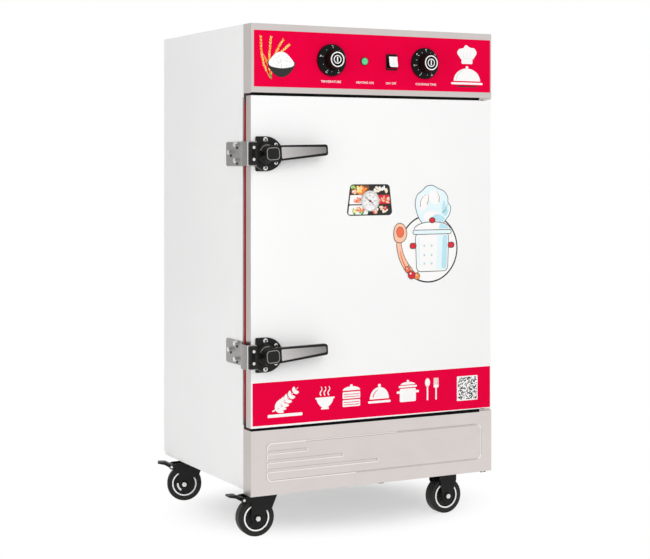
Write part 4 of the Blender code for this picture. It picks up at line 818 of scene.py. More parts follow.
# %% Bowl of rice and ears of grain, left on the head
layer = [-FILM - INK * n for n in range(1, 9)]
shape = bmesh.new()
inks = ["black", "white", "pale_grey", "gold", "straw", "green", "orange"]
random.seed(4)
for root, bend, tip in (((-298, 1126), (-326, 1165), (-323, 1230)), ((-297, 1128), (-305, 1170), (-295, 1229)),
                        ((-296, 1132), (-294, 1180), (-262, 1222)), ((-295, 1134), (-286, 1182), (-245, 1210))):
    line = bow(root, bend, tip, 16)
    patch(shape, stroke(line, 1.5, 0.5), layer[0], 3)
    for i in range(3, 16):
        heading = heading_at(line, i)
        for side in (-1, 1):
            grain = leaf(*line[i], random.uniform(7.0, 9.5), 2.4, heading + side * random.uniform(14, 26))
            patch(shape, grain, layer[1 if side > 0 else 2] - 0.006 * i, 4 if random.random() > 0.4 else 3)
patch(shape, leaf(-300, 1140, 18, 5, -72), layer[3], 5)
patch(shape, leaf(-299, 1150, 40, 6, 118), layer[3], 6)
bowl = [(-307 + 78 * k / 24, 1166 - 37 * math.sin(math.pi * k / 24) ** 0.62) for k in range(25)]
bowl += [(-229 - 78 * k / 24, 1166 + 11 * math.sin(math.pi * k / 24)) for k in range(1, 24)]
patch(shape, bowl, layer[4], 0)
mound = smooth_loop([(-303, 1164), (-296, 1155), (-268, 1151), (-240, 1155), (-233, 1163), (-240, 1174),
                     (-254, 1187), (-268, 1191.5), (-283, 1187), (-296, 1175)])
patch(shape, mound, layer[5], 1)
for n in range(46):
    a, r = random.uniform(0, math.tau), random.random() ** 0.5
    x, z = -268 + 27 * r * math.cos(a), 1168 + 14 * r * math.sin(a)
    patch(shape, oval(x, z, 2.2, 0.9, random.uniform(0, 180), 10), layer[6] - 0.004 * n,
          2 if random.random() > 0.35 else 1)
finish_print("rice_bowl_print", shape, inks, "cabinet")
print("rice bowl printed")

# %% Cook's hat and covered dish, right on the head
shape = bmesh.new()
inks = ["white", "pale_grey", "black"]
hat = smooth_loop([(258, 1190), (250, 1196), (243, 1206), (249, 1216), (261, 1219), (270, 1227), (283, 1221),
                   (296, 1219), (303, 1208), (297, 1197), (289, 1190)])
patch(shape, hat, layer[0], 0)
patch(shape, panel(256, 290, 1178, 1194, 3), layer[1], 0)
for x in (263, 273, 283):
    patch(shape, stroke([(x, 1196), (x - 1 + (x - 273) * 0.2, 1210)], 1.0, 0.5), layer[2], 1)
patch(shape, stroke([(257, 1192.5), (289, 1192.5)], 0.8), layer[2], 1)
patch(shape, arc(273, 1133, 41, 0, 180, 24, 33), layer[0], 0)
patch(shape, oval(273, 1168, 4.2), layer[1], 0)
patch(shape, panel(224, 322, 1124, 1129.5, 2.6), layer[0], 0)
patch(shape, stroke(bow((240, 1137), (244, 1156), (262, 1162)), 2.4, 1.0), layer[2], 1)
patch(shape, panel(240, 306, 1117.5, 1120.5, 1.4), layer[0], 2)
finish_print("covered_dish_print", shape, inks, "cabinet")
print("covered dish printed")

# %% [markdown]
# ## Painted highlight and shade along the foot panel
#
# The foot panel is pressed out by 1.5 mm, with three grooves in it. The press leaves each edge
# rolled; the rolls catch light above and lie in shade below. A bevel as narrow as the solid's step
# would not show at this distance, so thin rounded beads of bright steel lie along the edges as
# painted highlight, with strips of darker steel beside them as painted shade.

# %% Highlight beads and shade lines painted along the pressing
left, right, foot, top = -307.0, 314.0, 141.0, 233.0
CORNER = 12.0
GROOVES = ((211.0, -200.0), (189.0, -99.0), (167.0, 2.0))
GROOVE_HALF = 4.0
BRIGHT_END, FADED_END, FOOT_END = -200.0, 60.0, -60.0
inner_left, inner_right = left + CORNER, right - CORNER
high_corner, low_corner = top - CORNER, foot + CORNER
shape = bmesh.new()
# Bright beads on the rolled edges: painted highlight.
highlight_beads = [(arc(inner_left, high_corner, CORNER, 180, 90, 8) + [(BRIGHT_END, top)], 2.6),
         ([(BRIGHT_END, top), (FADED_END, top)], 1.2),
         (arc(inner_left, low_corner, CORNER, 180, 270, 8) + [(FOOT_END, foot)], 2.2),
         ([(right, low_corner), (right, high_corner)] + arc(inner_right, high_corner, CORNER, 0, 60, 8), 2.5),
         (arc(inner_right, low_corner, CORNER, 300, 360, 8), 3.6)]
edge_marks = [high_corner] + [z + dz for z, _ in GROOVES for dz in (GROOVE_HALF, -GROOVE_HALF)] + [low_corner]
highlight_beads += [([(left, high), (left, low)], 2.4) for high, low in zip(edge_marks[::2], edge_marks[1::2])]
for z, end in GROOVES:
    highlight_beads.append(([(left + 2.0, z - GROOVE_HALF), (end, z - GROOVE_HALF)], 2.2))
    highlight_beads.append((arc(end, z, GROOVE_HALF, 270, 400, 8), 1.8))
# Darker strips beside the edges: painted shade.
shade_lines = [([(left + 3.0, z + GROOVE_HALF), (end, z + GROOVE_HALF)], 1.0) for z, end in GROOVES]
shade_lines += [([(left + 10.0, foot + 2.2), (right - 8.0, foot + 2.2)], 1.1),
            ([(FOOT_END, foot), (inner_right, foot)], 1.0),
            ([(FADED_END, top), (inner_right, top)], 0.8),
            ([(BRIGHT_END, top - 2.4), (right - 14.0, top - 2.4)], 1.0),
            ([(right + 2.4, low_corner), (right + 2.4, high_corner)], 1.0)]
for lines, front, finish in ((highlight_beads, -2.1, 0), (shade_lines, -1.75, 1)):
    for line, width in lines:
        slab(shape, stroke(line, width), front, -0.2, finish)
finish_piece("pressing_painted_highlights", shape, ["painted_highlight_steel", "painted_shade_steel"], "cabinet", 0.4,
             closed=False)
print("highlight_beads", len(highlight_beads), "shade_lines", len(shade_lines))

# %% [markdown]
# ## Knobs, lamp and switch
#
# The real knobs are moulded ABS: a wide skirt with printed figures, and a fluted grip with white
# rings let into its face. A turned profile with fluted rows gives the whole grip in one mesh, where
# cutting 24 flutes with booleans would be slow and rough.

# %% Knobs
SKIRT = [(40.0, 1.0), (40.0, 6.2), (39.2, 7.4), (34.0, 10.0), (27.5, 12.4)]
FIRST_FIGURE, SWEEP = 240.0, -300.0
FIGURE_REACH, TICK_START, LONG_TICK, SHORT_TICK = 35.2, 28.6, 32.2, 31.4


def skirt_height(radius):
    """How far the skirt's face stands off the fascia at a radius."""
    for (r0, h0), (r1, h1) in zip(SKIRT[1:], SKIRT[2:]):
        if r1 <= radius <= r0:
            return h0 + (h1 - h0) * (r0 - radius) / (r0 - r1)
    return SKIRT[-1][1]


def make_knob(body, x, figures):
    """A fluted grip on a skirt, with its figures and ticks laid on the skirt's slope."""
    shape = bmesh.new()
    centre = (x, 0.0, CONTROL_Z)
    profile = [(3.0, 1.0)] + SKIRT + [(25.5, 13.2), (24.6, 20.0), (23.2, 33.0), (22.0, 35.2), (20.8, 35.6)]
    profile += [(18.2, 35.6), (17.6, 35.0), (0.0, 35.0)]
    lathe(shape, profile, centre, steps=144, ribs=24, depth=1.5, ribbed=(7, 8))
    for inner, outer, height in ((16.2, 18.9, 35.75), (8.4, 10.6, 35.35)):
        ring = [(inner, height - 0.9), (inner, height), (outer, height), (outer, height - 0.9)]
        lathe(shape, ring, centre, finish=1, steps=72)
    slab(shape, panel(x - 1.5, x + 1.5, CONTROL_Z - 6.6, CONTROL_Z + 6.6, 1.3), -35.5, -34.8, 1)
    gap = SWEEP / (len(figures) - 1)
    first_mark = len(shape.verts)
    for i, figure in enumerate(figures):
        at = FIRST_FIGURE + gap * i
        words(shape, figure, *spoke(x, CONTROL_Z, FIGURE_REACH, at), 3.6, 0.0, 1, turn=at - 90)
        for turn, reach in ((at, LONG_TICK), (at + gap / 2, SHORT_TICK)):
            tick = [spoke(x, CONTROL_Z, r, turn) for r in (TICK_START, reach)]
            patch(shape, stroke(tick, 0.6), 0.0, 1)
    shape.verts.ensure_lookup_table()
    for vert in shape.verts[first_mark:]:
        away = math.hypot(vert.co.x - x, vert.co.z - CONTROL_Z)
        vert.co.y = -skirt_height(away) - 0.15
    finish_piece(f"{body}_detail", shape, ["black_abs", "white"], body, closed=False, crease=28,
                 stands_for=(body,))


make_knob("thermostat_knob", -130.0, ["30", "50", "70", "90", "110"])
make_knob("timer_knob", 142.0, ["0", "20", "40", "60", "80", "100", "120"])
print("knobs with 24 flutes")

# %% [markdown]
# **Pilot lamp and rocker.** The lamp is a fluted green lens in a nylon body, with a nut behind the
# sheet. All of it is round, so it is turned like the knobs. The rocker is a white key with a
# hollowed face. It is a stack of rings, whose width follows the key's round corners.

# %% Pilot lamp
shape = bmesh.new()
centre = (-35.0, 0.0, CONTROL_Z)
lens_profile = [(9.2, 0.6)] + arc(0.0, 3.0, 9.2, 0, 75, 5, 5.0) + [(0.0, 8.0)]
lathe(shape, lens_profile, centre, finish=0, ribs=24, depth=0.25, ribbed=(1, 2, 3))
rim = [(8.8, 0.5), (10.5, 0.5), (10.5, 2.2), (10.0, 2.8), (9.3, 2.8)]
lathe(shape, rim, centre, finish=1)
lathe(shape, [(7.3, 0.6), (7.3, -26.0), (0.0, -26.0)], centre, finish=2, steps=24)
lathe(shape, [(7.3, -2.0), (11.0, -2.0), (11.0, -6.0), (7.3, -6.0)], centre, finish=2, steps=6)
finish_piece("pilot_lamp_detail", shape, ["green_polycarbonate", "black_abs", "black_nylon"], "cabinet",
             closed=False, stands_for=("pilot_lamp",))
print("lamp")

# %% Rocker
ROCKER_X = 44.0
KEY_HALF, KEY_TALL, KEY_CORNER = 12.2, 15.4, 4.5
WHITE_TOP = 13.6


def key_face(v):
    """How deep the key's hollowed face lies at a height from its middle."""
    return -11.5 - 1.5 * (v / KEY_TALL) ** 2


shape = bmesh.new()
rows = []
for k in range(15):
    v = KEY_TALL * math.sin(math.pi * (k / 14 - 0.5))
    over = max(0.0, abs(v) - KEY_TALL + KEY_CORNER)
    half = KEY_HALF - KEY_CORNER + math.sqrt(max(0.0, KEY_CORNER ** 2 - over ** 2))
    ring = [(-half, 2.0), (-half, key_face(v)), (0.0, key_face(v)), (half, key_face(v)), (half, 2.0)]
    rows.append([shape.verts.new((u, y, v)) for u, y in ring])
for low_row, high_row in zip(rows, rows[1:]):
    for i in range(5):
        wall = shape.faces.new((low_row[i - 1], low_row[i], high_row[i], high_row[i - 1]))
        wall.material_index = 0 if i in (2, 3) and high_row[0].co.z < WHITE_TOP else 2
for end in (rows[0], rows[-1]):
    shape.faces.new(end).material_index = 2
bmesh.ops.recalc_face_normals(shape, faces=shape.faces)
first_mark = len(shape.verts)
patch(shape, panel(-0.6, 0.6, 3.5, 9.5, 0.3), 0.0, 1)
patch(shape, oval(0.0, -7.5, 3.0, steps=24), 0.0, 1)
patch(shape, oval(0.0, -7.5, 2.0, steps=24), 0.0, 0)
shape.verts.ensure_lookup_table()
for n, vert in enumerate(shape.verts[first_mark:]):
    vert.co.y = key_face(vert.co.z) - (0.16 if n >= len(shape.verts) - first_mark - 24 else 0.1)
shape.transform(Matrix.Translation((ROCKER_X, 0.0, CONTROL_Z)) @ Matrix.Rotation(math.radians(-10.0), 4, "X"))
finish_piece("rocker_key", shape, ["white_abs", "pale_grey", "black_abs"], "rocker", 0.8, 3,
             closed=False, stands_for=("power_switch_rocker",))
print("rocker with its marks")

# %% [markdown]
# ## Print on the door's film
#
# Along the foot of the door the film is printed in white. A row of kitchen signs stands where the
# print is largest, with a sprig at its left and a white tile with a woven pattern at its right.

# %% Row of kitchen signs
shape = bmesh.new()
inks = ["white", "pale_grey", "black", "red_film"]
deep = [-FILM - INK * n for n in range(1, 6)]
MIDDLE = 334.5


def sign_bowl(x):
    """A bowl with three wisps of steam."""
    body = [(x - 24 + 48 * k / 20, MIDDLE - 2 - 23 * math.sin(math.pi * k / 20) ** 0.6) for k in range(21)]
    patch(shape, body, deep[0])
    patch(shape, panel(x - 11, x + 11, MIDDLE - 28.5, MIDDLE - 24, 1.5), deep[1])
    patch(shape, panel(x - 27, x + 27, MIDDLE - 2.5, MIDDLE + 1.5, 1.5), deep[1])
    for dx in (-11, 0, 11):
        wave = bow((x + dx, MIDDLE + 6), (x + dx - 5, MIDDLE + 12), (x + dx, MIDDLE + 17))
        wave += bow((x + dx, MIDDLE + 17), (x + dx + 5, MIDDLE + 22), (x + dx, MIDDLE + 28))[1:]
        patch(shape, stroke(wave, 3.2, 1.8), deep[0])


def sign_baskets(x):
    """Two steamer baskets under a lid."""
    for k in range(2):
        foot = MIDDLE - 27 + 20 * k
        patch(shape, panel(x - 25, x + 25, foot, foot + 17, 2.5), deep[0])
        for dz in (5.0, 11.0):
            patch(shape, stroke([(x - 22, foot + dz), (x + 22, foot + dz)], 1.6), deep[1], 3)
    patch(shape, arc(x, MIDDLE + 13.5, 25, 0, 180, 20, 10), deep[0])
    patch(shape, oval(x, MIDDLE + 25.5, 4, 3), deep[1])


def sign_dish(x):
    """A covered dish with a gleam on its dome."""
    patch(shape, arc(x, MIDDLE - 14, 28, 0, 180, 24, 30), deep[0])
    patch(shape, oval(x, MIDDLE + 20, 4.4), deep[1])
    patch(shape, panel(x - 33, x + 33, MIDDLE - 24, MIDDLE - 18, 2.8), deep[0])
    patch(shape, stroke(bow((x - 19, MIDDLE - 9), (x - 16, MIDDLE + 4), (x - 4, MIDDLE + 9)), 2.6, 1.2), deep[1], 3)


def sign_pot(x):
    """A pot with two handles and a lid."""
    patch(shape, panel(x - 24, x + 24, MIDDLE - 27, MIDDLE + 7, 4), deep[0])
    patch(shape, panel(x - 27, x + 27, MIDDLE + 9.5, MIDDLE + 14.5, 2.2), deep[0])
    for left_edge in (x - 33, x + 22):
        patch(shape, panel(left_edge, left_edge + 11, MIDDLE - 5, MIDDLE + 1, 2.4), deep[1])
    patch(shape, arc(x, MIDDLE + 16.5, 22, 0, 180, 20, 7), deep[0])
    patch(shape, oval(x, MIDDLE + 26, 3.6, 2.6), deep[1])


def sign_cutlery(x):
    """A spoon and a fork."""
    for dx in (-13, 13):
        patch(shape, panel(x + dx - 2.2, x + dx + 2.2, MIDDLE - 28, MIDDLE + 8, 2.1), deep[0])
    patch(shape, oval(x - 13, MIDDLE + 18, 7.5, 11), deep[1])
    patch(shape, panel(x + 5.5, x + 20.5, MIDDLE + 3, MIDDLE + 11, 3.4), deep[1])
    for dx in (7.2, 11.1, 14.9, 18.8):
        patch(shape, panel(x + dx - 1.3, x + dx + 1.3, MIDDLE + 8, MIDDLE + 28.5, 1.2), deep[2])


for draw, x in ((sign_bowl, -147.0), (sign_baskets, -72.0), (sign_dish, 9.0), (sign_pot, 93.0), (sign_cutlery, 165.0)):
    draw(x)
finish_print("kitchen_signs", shape, inks, "door")
print("five signs")

# %% Sprig and bar at the film's left
shape = bmesh.new()
line = bow((-292, 311), (-268, 320), (-222, 366), 14)
patch(shape, stroke(line, 3.6, 1.2), deep[0])
for i in range(2, 14, 2):
    for side in (-1, 1):
        depth = deep[1 if side > 0 else 2] - 0.008 * i
        patch(shape, leaf(*line[i], 27 - i, 9.5, heading_at(line, i) + side * 42), depth)
patch(shape, panel(-305, -210, 296, 303.5, 2), deep[0])
finish_print("sprig_print", shape, ["white"], "door")
print("sprig")

# %% White tile at the film's right
shape = bmesh.new()
patch(shape, panel(242.0, 306.0, 298.0, 362.0, 1.0), deep[0], 0)
random.seed(12)
CELLS = 23
PATTERN_LEFT, PATTERN_FOOT, PATTERN_SIDE = 245.0, 301.0, 58.0
pitch = PATTERN_SIDE / CELLS
for row in range(CELLS):
    for column in range(CELLS):
        if random.random() < 0.47:
            x, z = PATTERN_LEFT + pitch * column, PATTERN_FOOT + pitch * row
            patch(shape, [(x, z), (x + pitch, z), (x + pitch, z + pitch), (x, z + pitch)], deep[1],
                  1 if random.random() < 0.7 else 2)
finish_print("woven_tile_print", shape, ["white", "black", "grey"], "door")
print("tile with", CELLS, "cells a side")

# %% [markdown]
# ## Thermometer
#
# A dial thermometer is screwed through the door, over a printed plate. The steel case is the CAD
# solid. The plate, the dial's face with its scale, and the glass are new.

# %% Plate round the dial
shape = bmesh.new()
inks = ["black", "white", "orange", "green", "red", "straw", "peach", "brown", "leaf", "coral", "pale_grey", "cream"]
under = [-0.15 - INK * n for n in range(8)]
PLATE = [(-86.0, 786.0), (47.5, 786.0), (38.5, 865.0), (-75.0, 865.0)]
slab(shape, rounded(PLATE, 10.0), -0.25, 0.1, 0)
DIAL_X, DIAL_Z = -20.0, 823.0


def tile(corners, ink, radius=1.5):
    """One field of the plate, of one ink."""
    patch(shape, rounded(corners, radius), under[1], ink)


tile([(-81, 789), (-24, 789), (-24, 812), (-78.5, 812)], 1, 4)
tile([(-78, 815), (-24, 815), (-24, 838), (-75, 838)], 1)
tile([(-74.5, 841), (-20, 841), (-20, 862), (-70, 862)], 7, 4)
tile([(-17, 841), (37, 841), (34.5, 862), (-17, 862)], 0, 4)
tile([(-16, 815), (41, 815), (38, 838), (-16, 838)], 4)
tile([(-21, 789), (43, 789), (41, 812), (-21, 812)], 0, 4)
tiled = len(shape.faces)
random.seed(21)


def heap(low, high, count, choices, sizes):
    """Pieces of food heaped in a tile: ovals with a light fleck each."""
    for n in range(count):
        x, z = random.uniform(low[0], high[0]), random.uniform(low[1], high[1])
        across, up = random.uniform(*sizes), random.uniform(*sizes) * 0.62
        turn = random.uniform(0, 180)
        ink = random.choice(choices)
        depth = under[2] - 0.004 * (len(shape.faces) - tiled)
        patch(shape, oval(x, z, across, up, turn, 18), depth, ink)
        patch(shape, oval(x - 0.3 * across, z + 0.3 * up, 0.36 * across, 0.3 * up, turn, 12), depth - 0.004,
              1 if ink not in (1, 11) else 10)


heap((-66, 793), (-40, 799), 9, (8, 3, 3), (4, 7))
heap((-62, 797), (-34, 804), 8, (2, 9, 5, 2), (4, 7))
heap((-60, 821), (-48, 829), 5, (2, 9), (4, 7))
heap((-66, 845), (-34, 855), 10, (2, 5, 2, 6), (6, 11))
heap((-71, 856), (-60, 859), 4, (3, 8), (3, 5))
heap((-8, 845), (30, 857), 13, (1, 11, 1, 10), (4, 6.5))
heap((8, 819), (36, 834), 12, (9, 4, 6), (4, 7))
heap((-10, 793), (36, 808), 14, (6, 9, 11, 4, 1), (4, 7))
finish_piece("thermometer_plate", shape, inks, "door", closed=False)
print("plate with six tiles")

# %% [markdown]
# **The dial's scale** runs over 270 degrees. One loop finds each tick and figure from its share of
# the full scale, as a printer's template does. The needle is a CAD solid and turns between the
# scale and the glass.

# %% Dial face, scale and glass
shape = bmesh.new()
FACE_LEVEL = -2.95
MARK_LEVEL = FACE_LEVEL - 0.1
FULL_SCALE = 120
patch(shape, oval(DIAL_X, DIAL_Z, 23.8, steps=64), FACE_LEVEL, 0)
for step in range(0, FULL_SCALE + 1, 2):
    turn = 225.0 - 270.0 * step / FULL_SCALE
    long = step % 20 == 0
    inner = 17.6 if long else (19.2 if step % 10 == 0 else 20.4)
    tick = [spoke(DIAL_X, DIAL_Z, r, turn) for r in (inner, 22.0)]
    patch(shape, stroke(tick, 0.7 if long else 0.35), MARK_LEVEL, 1)
    if long:
        words(shape, str(step), *spoke(DIAL_X, DIAL_Z, 13.6, turn), 3.4, MARK_LEVEL, 1)
words(shape, "°C", DIAL_X, DIAL_Z - 9.0, 4.0, MARK_LEVEL, 1)
finish_print("dial_scale", shape, ["white", "black"], "door")
shape = bmesh.new()
glass = [(0.0, 5.1), (18.0, 5.6), (23.6, 5.5), (23.9, 5.2), (23.9, 4.9), (0.0, 4.9)]
lathe(shape, glass, (DIAL_X, 0.0, DIAL_Z), steps=64)
finish_piece("dial_glass", shape, ["clear_glass"], "door")
print("dial case", [[round(v, 1) for v in corner] for corner in box_mm("thermometer_case")])

# %% [markdown]
# ## Round decal
#
# A round sticker sits in the door's middle: a black ring with a drawing that leaves it at the top
# and at the left. It shows a stock pot under a cloud of steam, with a wooden ladle. The drawing is
# built as a printer builds it, in layers of flat ink with a dark line round each.

# %% Ring and cloud of steam
shape = bmesh.new()
inks = ["black", "white", "sky", "pale_sky", "peach", "coral", "red", "orange", "green", "grey", "gold"]
RING_X, RING_Z = 156.0, 698.0
tier = [-0.15 - INK * n for n in range(14)]
patch(shape, oval(RING_X, RING_Z, 88, steps=96), tier[0], 0)
patch(shape, oval(RING_X, RING_Z, 84.2, steps=96), tier[1], 1)


def inked(outline, level, fill, line_mm=1.7):
    """A filled shape with a dark line of ink round it."""
    outline = facing_viewer(outline)
    count = len(outline)
    grown = []
    for i, point in enumerate(outline):
        ahead = Vector(outline[(i + 1) % count]) - Vector(outline[i - 1])
        side = Vector((ahead.y, -ahead.x)).normalized() * line_mm
        grown.append((point[0] + side.x, point[1] + side.y))
    patch(shape, grown, tier[level], 0)
    patch(shape, outline, tier[level + 1], fill)


inked(smooth_loop([(131, 771), (124, 783), (118, 800), (116, 818), (122, 836), (138, 848), (150, 858), (168, 860),
                   (184, 852), (200, 846), (212, 832), (214, 816), (222, 804), (218, 786), (207, 772), (196, 762),
                   (168, 754), (146, 758)]), 2, 3)
for knots, ink, level in (([(127, 800), (124, 818), (134, 836), (150, 840), (158, 826), (150, 806), (138, 796)], 1, 4),
                          ([(156, 824), (160, 846), (176, 850), (190, 840), (190, 822), (174, 812)], 1, 5),
                          ([(196, 800), (202, 822), (208, 806), (214, 792), (204, 782)], 2, 4),
                          ([(140, 776), (148, 792), (164, 796), (184, 790), (192, 774), (168, 762)], 1, 5),
                          ([(166, 776), (178, 786), (196, 782), (204, 774), (192, 766)], 2, 6)):
    patch(shape, smooth_loop(knots), tier[level], ink)
for curve in (bow((130, 806), (128, 830), (148, 838)), bow((150, 812), (158, 826), (154, 838)),
              bow((186, 818), (192, 834), (178, 846)), bow((196, 790), (210, 796), (212, 812))):
    patch(shape, stroke(curve, 1.5, 0.5), tier[7], 0)
print("ring and steam have", len(shape.faces), "patches")

# %% Stock pot
inked(rounded([(120, 640), (212, 640), (216, 738), (116, 738)], 12), 4, 1)
patch(shape, rounded([(178, 643), (209, 643), (213, 734), (182, 734)], 8), tier[6], 3)
patch(shape, rounded([(194, 645), (209, 645), (213, 732), (198, 732)], 7), tier[7], 2)
patch(shape, rounded([(124, 650), (130, 650), (128, 728), (121, 728)], 2.6), tier[6], 3)
inked(panel(109, 223, 736, 746, 4.5), 6, 3)
for handle in (100, 215):
    inked(panel(handle, handle + 17, 700, 712, 5), 6, 6)
inked(arc(166, 747, 54, 0, 180, 24, 19), 8, 1)
patch(shape, arc(166, 749, 50, 0, 63, 14, 15) + [(186, 749)], tier[10], 2)
inked(oval(166, 771, 8, 6), 10, 6)
for x, z in ((142, 706), (164, 706), (142, 682), (164, 682), (142, 660), (164, 660)):
    patch(shape, oval(x, z, 2.7), tier[8], 2)
    patch(shape, stroke(bow((x - 2.4, z - 1.2), (x, z - 3.4), (x + 2.4, z - 1.2)), 0.9), tier[9], 9)
print("with the pot", len(shape.faces), "patches")

# %% Ladle and three balls at the foot
inked(stroke(bow((101, 640), (70, 668), (66, 716), 16), 17, 12), 2, 4)
patch(shape, stroke(bow((98, 636), (76, 660), (70, 694), 12), 5, 2), tier[4], 5)
inked(smooth_loop([(52, 742), (54, 724), (64, 716), (78, 718), (88, 730), (88, 746), (80, 760), (66, 764),
                   (56, 756)]), 4, 4)
inked(smooth_loop([(60, 744), (64, 732), (74, 730), (80, 740), (76, 752), (66, 754)]), 6, 5, 1.2)
for n, (x, z, r, ink) in enumerate(((120, 628, 8, 7), (92, 646, 7, 5), (104, 632, 10, 6))):
    inked(oval(x, z, r), 5 + 2 * n, ink, 1.4)
    patch(shape, oval(x - 0.35 * r, z + 0.35 * r, 0.24 * r), tier[11], 1)
    patch(shape, leaf(x, z + 0.8 * r, 7, 3.4, 60), tier[12], 8)
finish_print("round_decal", shape, inks, "door")
print("decal of", len(inks), "inks")

# %% [markdown]
# ## Latches
#
# Each latch is a cold-room lever: a black nylon base with four screws, a hub, and an arm with a
# brushed steel insert let into it. The new lever is about 1.5 mm fuller than its solid. It adds the
# frame round the insert, the raised outline on the block and soft moulded edges. The outline and
# two short arcs, on the hub and on the base, are light grey as painted highlight.

# %% Painted reflection: the insert darkens towards the tip
HUB_X = -312.0
DARK_SHARE = 0.62
tree = finishes["lever_insert"].node_tree
shader = tree.nodes["Principled BSDF"]
ground = shader.inputs["Base Color"].links[0].from_socket
where = add_node(tree, "ShaderNodeTexCoord")
along = add_node(tree, "ShaderNodeSeparateXYZ", {0: where.outputs["Object"]})
hub_end, tip_end = (MIDDLE_X + (HUB_X + u) * MM for u in (24.0, 147.0))
# The insert's colour fades to dark grey from the hub to the tip, as a painted reflection.
tip_shade = add_node(tree, "ShaderNodeMapRange", {"Value": along.outputs["X"], "From Min": hub_end, "From Max": tip_end,
                                             "To Min": 0.0, "To Max": DARK_SHARE})
painted_reflection_mix = add_node(tree, "ShaderNodeMix", {0: tip_shade.outputs[0], 6: ground, 7: linear("3A3938")}, data_type="RGBA")
tree.links.new(painted_reflection_mix.outputs[2], shader.inputs["Base Color"])
print("insert from", round(hub_end, 4), "to", round(tip_end, 4))

# %% Lever
LEVER_LEAN = Matrix.Rotation(math.radians(-3.8), 4, "Y")
HUB_PROFILE = [(0.0, 0.7), (5.0, 0.7), (5.0, 4.7), (26.2, 4.7), (26.9, 6.0), (25.8, 11.0), (20.4, 17.0), (18.4, 31.0),
               (17.0, 33.4), (0.0, 33.4)]
ARM_CORNERS = [(-18, -18.6), (18, -19.0), (151, -13.6), (151, 13.6), (18, 19.4), (-18, 19.0)]


def crowned(shape, finish, start=23.6, end=147.2, base=42.7, crown=0.9, steps=20, rows=8):
    """The lever's insert: a tapering bar, crowned across its width as pressed inserts are."""
    grid = []
    for i in range(steps + 1):
        u = start + (end - start) * i / steps
        half = 14.7 - 6.6 * (u - 24.0) / 122.0
        spread = [-half + 2 * half * k / rows for k in range(rows + 1)]
        grid.append([shape.verts.new((u, -(base + crown * (1 - (v / half) ** 2)), v)) for v in spread])
    for a, b in zip(grid, grid[1:]):
        for k in range(rows):
            face = shape.faces.new((a[k], b[k], b[k + 1], a[k + 1]))
            face.material_index = finish


def make_lever(which, z):
    """The hub with its flutes, and the arm with a rim, a block and an insert."""
    shape = bmesh.new()
    lathe(shape, HUB_PROFILE, (HUB_X, 0.0, z), finish=0, steps=64)
    for out_x, out_z in arc(HUB_X, z, 19.4, 15, 345, 11):
        lathe(shape, [(0.0, 6.0), (1.1, 5.2), (1.1, -8.0), (0.0, -8.0)], (out_x, -22.0, out_z), finish=0, steps=10)
    # A light grey arc on the hub's upper left: painted highlight.
    slab(shape, stroke(arc(HUB_X, z, 21.6, 80, 168, 11), 2.2, 1.0), -18.6, -14.0, 2)
    slab(shape, panel(HUB_X - 37.0, HUB_X - 16.0, z - 7.8, z + 7.8, 2.0), -19.8, -8.2, 0)
    arm = bmesh.new()
    slab(arm, rounded(ARM_CORNERS, 6.5), -42.6, -33.2)
    rim = rounded([(21.0, -18.6), (150.6, -13.3), (150.6, 13.3), (21.0, 18.8)], 6.0)
    hollow = rounded([(24.2, -14.0), (146.8, -7.7), (146.8, 7.9), (24.2, 14.8)], 3.0)
    band(arm, rim, hollow, -44.4, -42.0, 0)
    slab(arm, rounded([(-17.6, -18.2), (20.4, -18.6), (20.4, 18.8), (-17.6, 18.4)], 8.5), -43.9, -42.0, 0)
    # The raised outline on the block is light grey, a painted highlight on its rim.
    outer = rounded([(-16.0, -15.6), (18.8, -15.6), (18.8, 15.0), (-16.0, 15.0)], 9.5)
    inner = rounded([(-14.2, -13.8), (17.0, -13.8), (17.0, 13.2), (-14.2, 13.2)], 7.8)
    band(arm, outer, inner, -44.7, -43.6, 2)
    crowned(arm, 1)
    arm.transform(Matrix.Translation((HUB_X, 0.0, z)) @ LEVER_LEAN)
    whole = bpy.data.meshes.new("arm")
    arm.to_mesh(whole)
    arm.free()
    shape.from_mesh(whole)
    bpy.data.meshes.remove(whole)
    finish_piece(f"latch_lever_{which}_detail", shape, ["black_nylon", "lever_insert", "highlight_nylon"], f"lever_{which}",
                 0.6, 2, closed=False, stands_for=(f"latch_lever_{which}",))


for which, z in LATCHES.items():
    make_lever(which, z)
print("two levers")

# %% [markdown]
# ** Screws and rivets** are zinc plated. One helper turns a pan head and lays two dark bars on it,
# painted shade that reads as a crossed recess from a step away. A cut recess would cost many faces
# on each screw for a shape of one millimetre.

# %% Screws and rivets


def pan_head(shape, centre, axis, radius, height, finish=0, recess_shade_finish=1):
    """A pan head with a crossed recess, seen as two dark bars of painted shade."""
    profile = [(1.0, 0.0), (1.0, 0.35), (0.86, 0.75), (0.55, 1.0), (0.0, 1.0)]
    lathe(shape, [(radius * r, height * h) for r, h in profile], centre, axis, finish, 24)
    for turn in (35.0, 125.0):
        lean = upright_along(centre, axis) @ Matrix.Rotation(math.radians(turn), 4, "Z")
        long, wide = 0.6 * radius, 0.16 * radius
        corners = [(-long, -wide), (long, -wide), (long, wide), (-long, wide)]
        face = shape.faces.new([shape.verts.new(lean @ Vector((u, v, height + 0.05))) for u, v in corners])
        face.material_index = recess_shade_finish


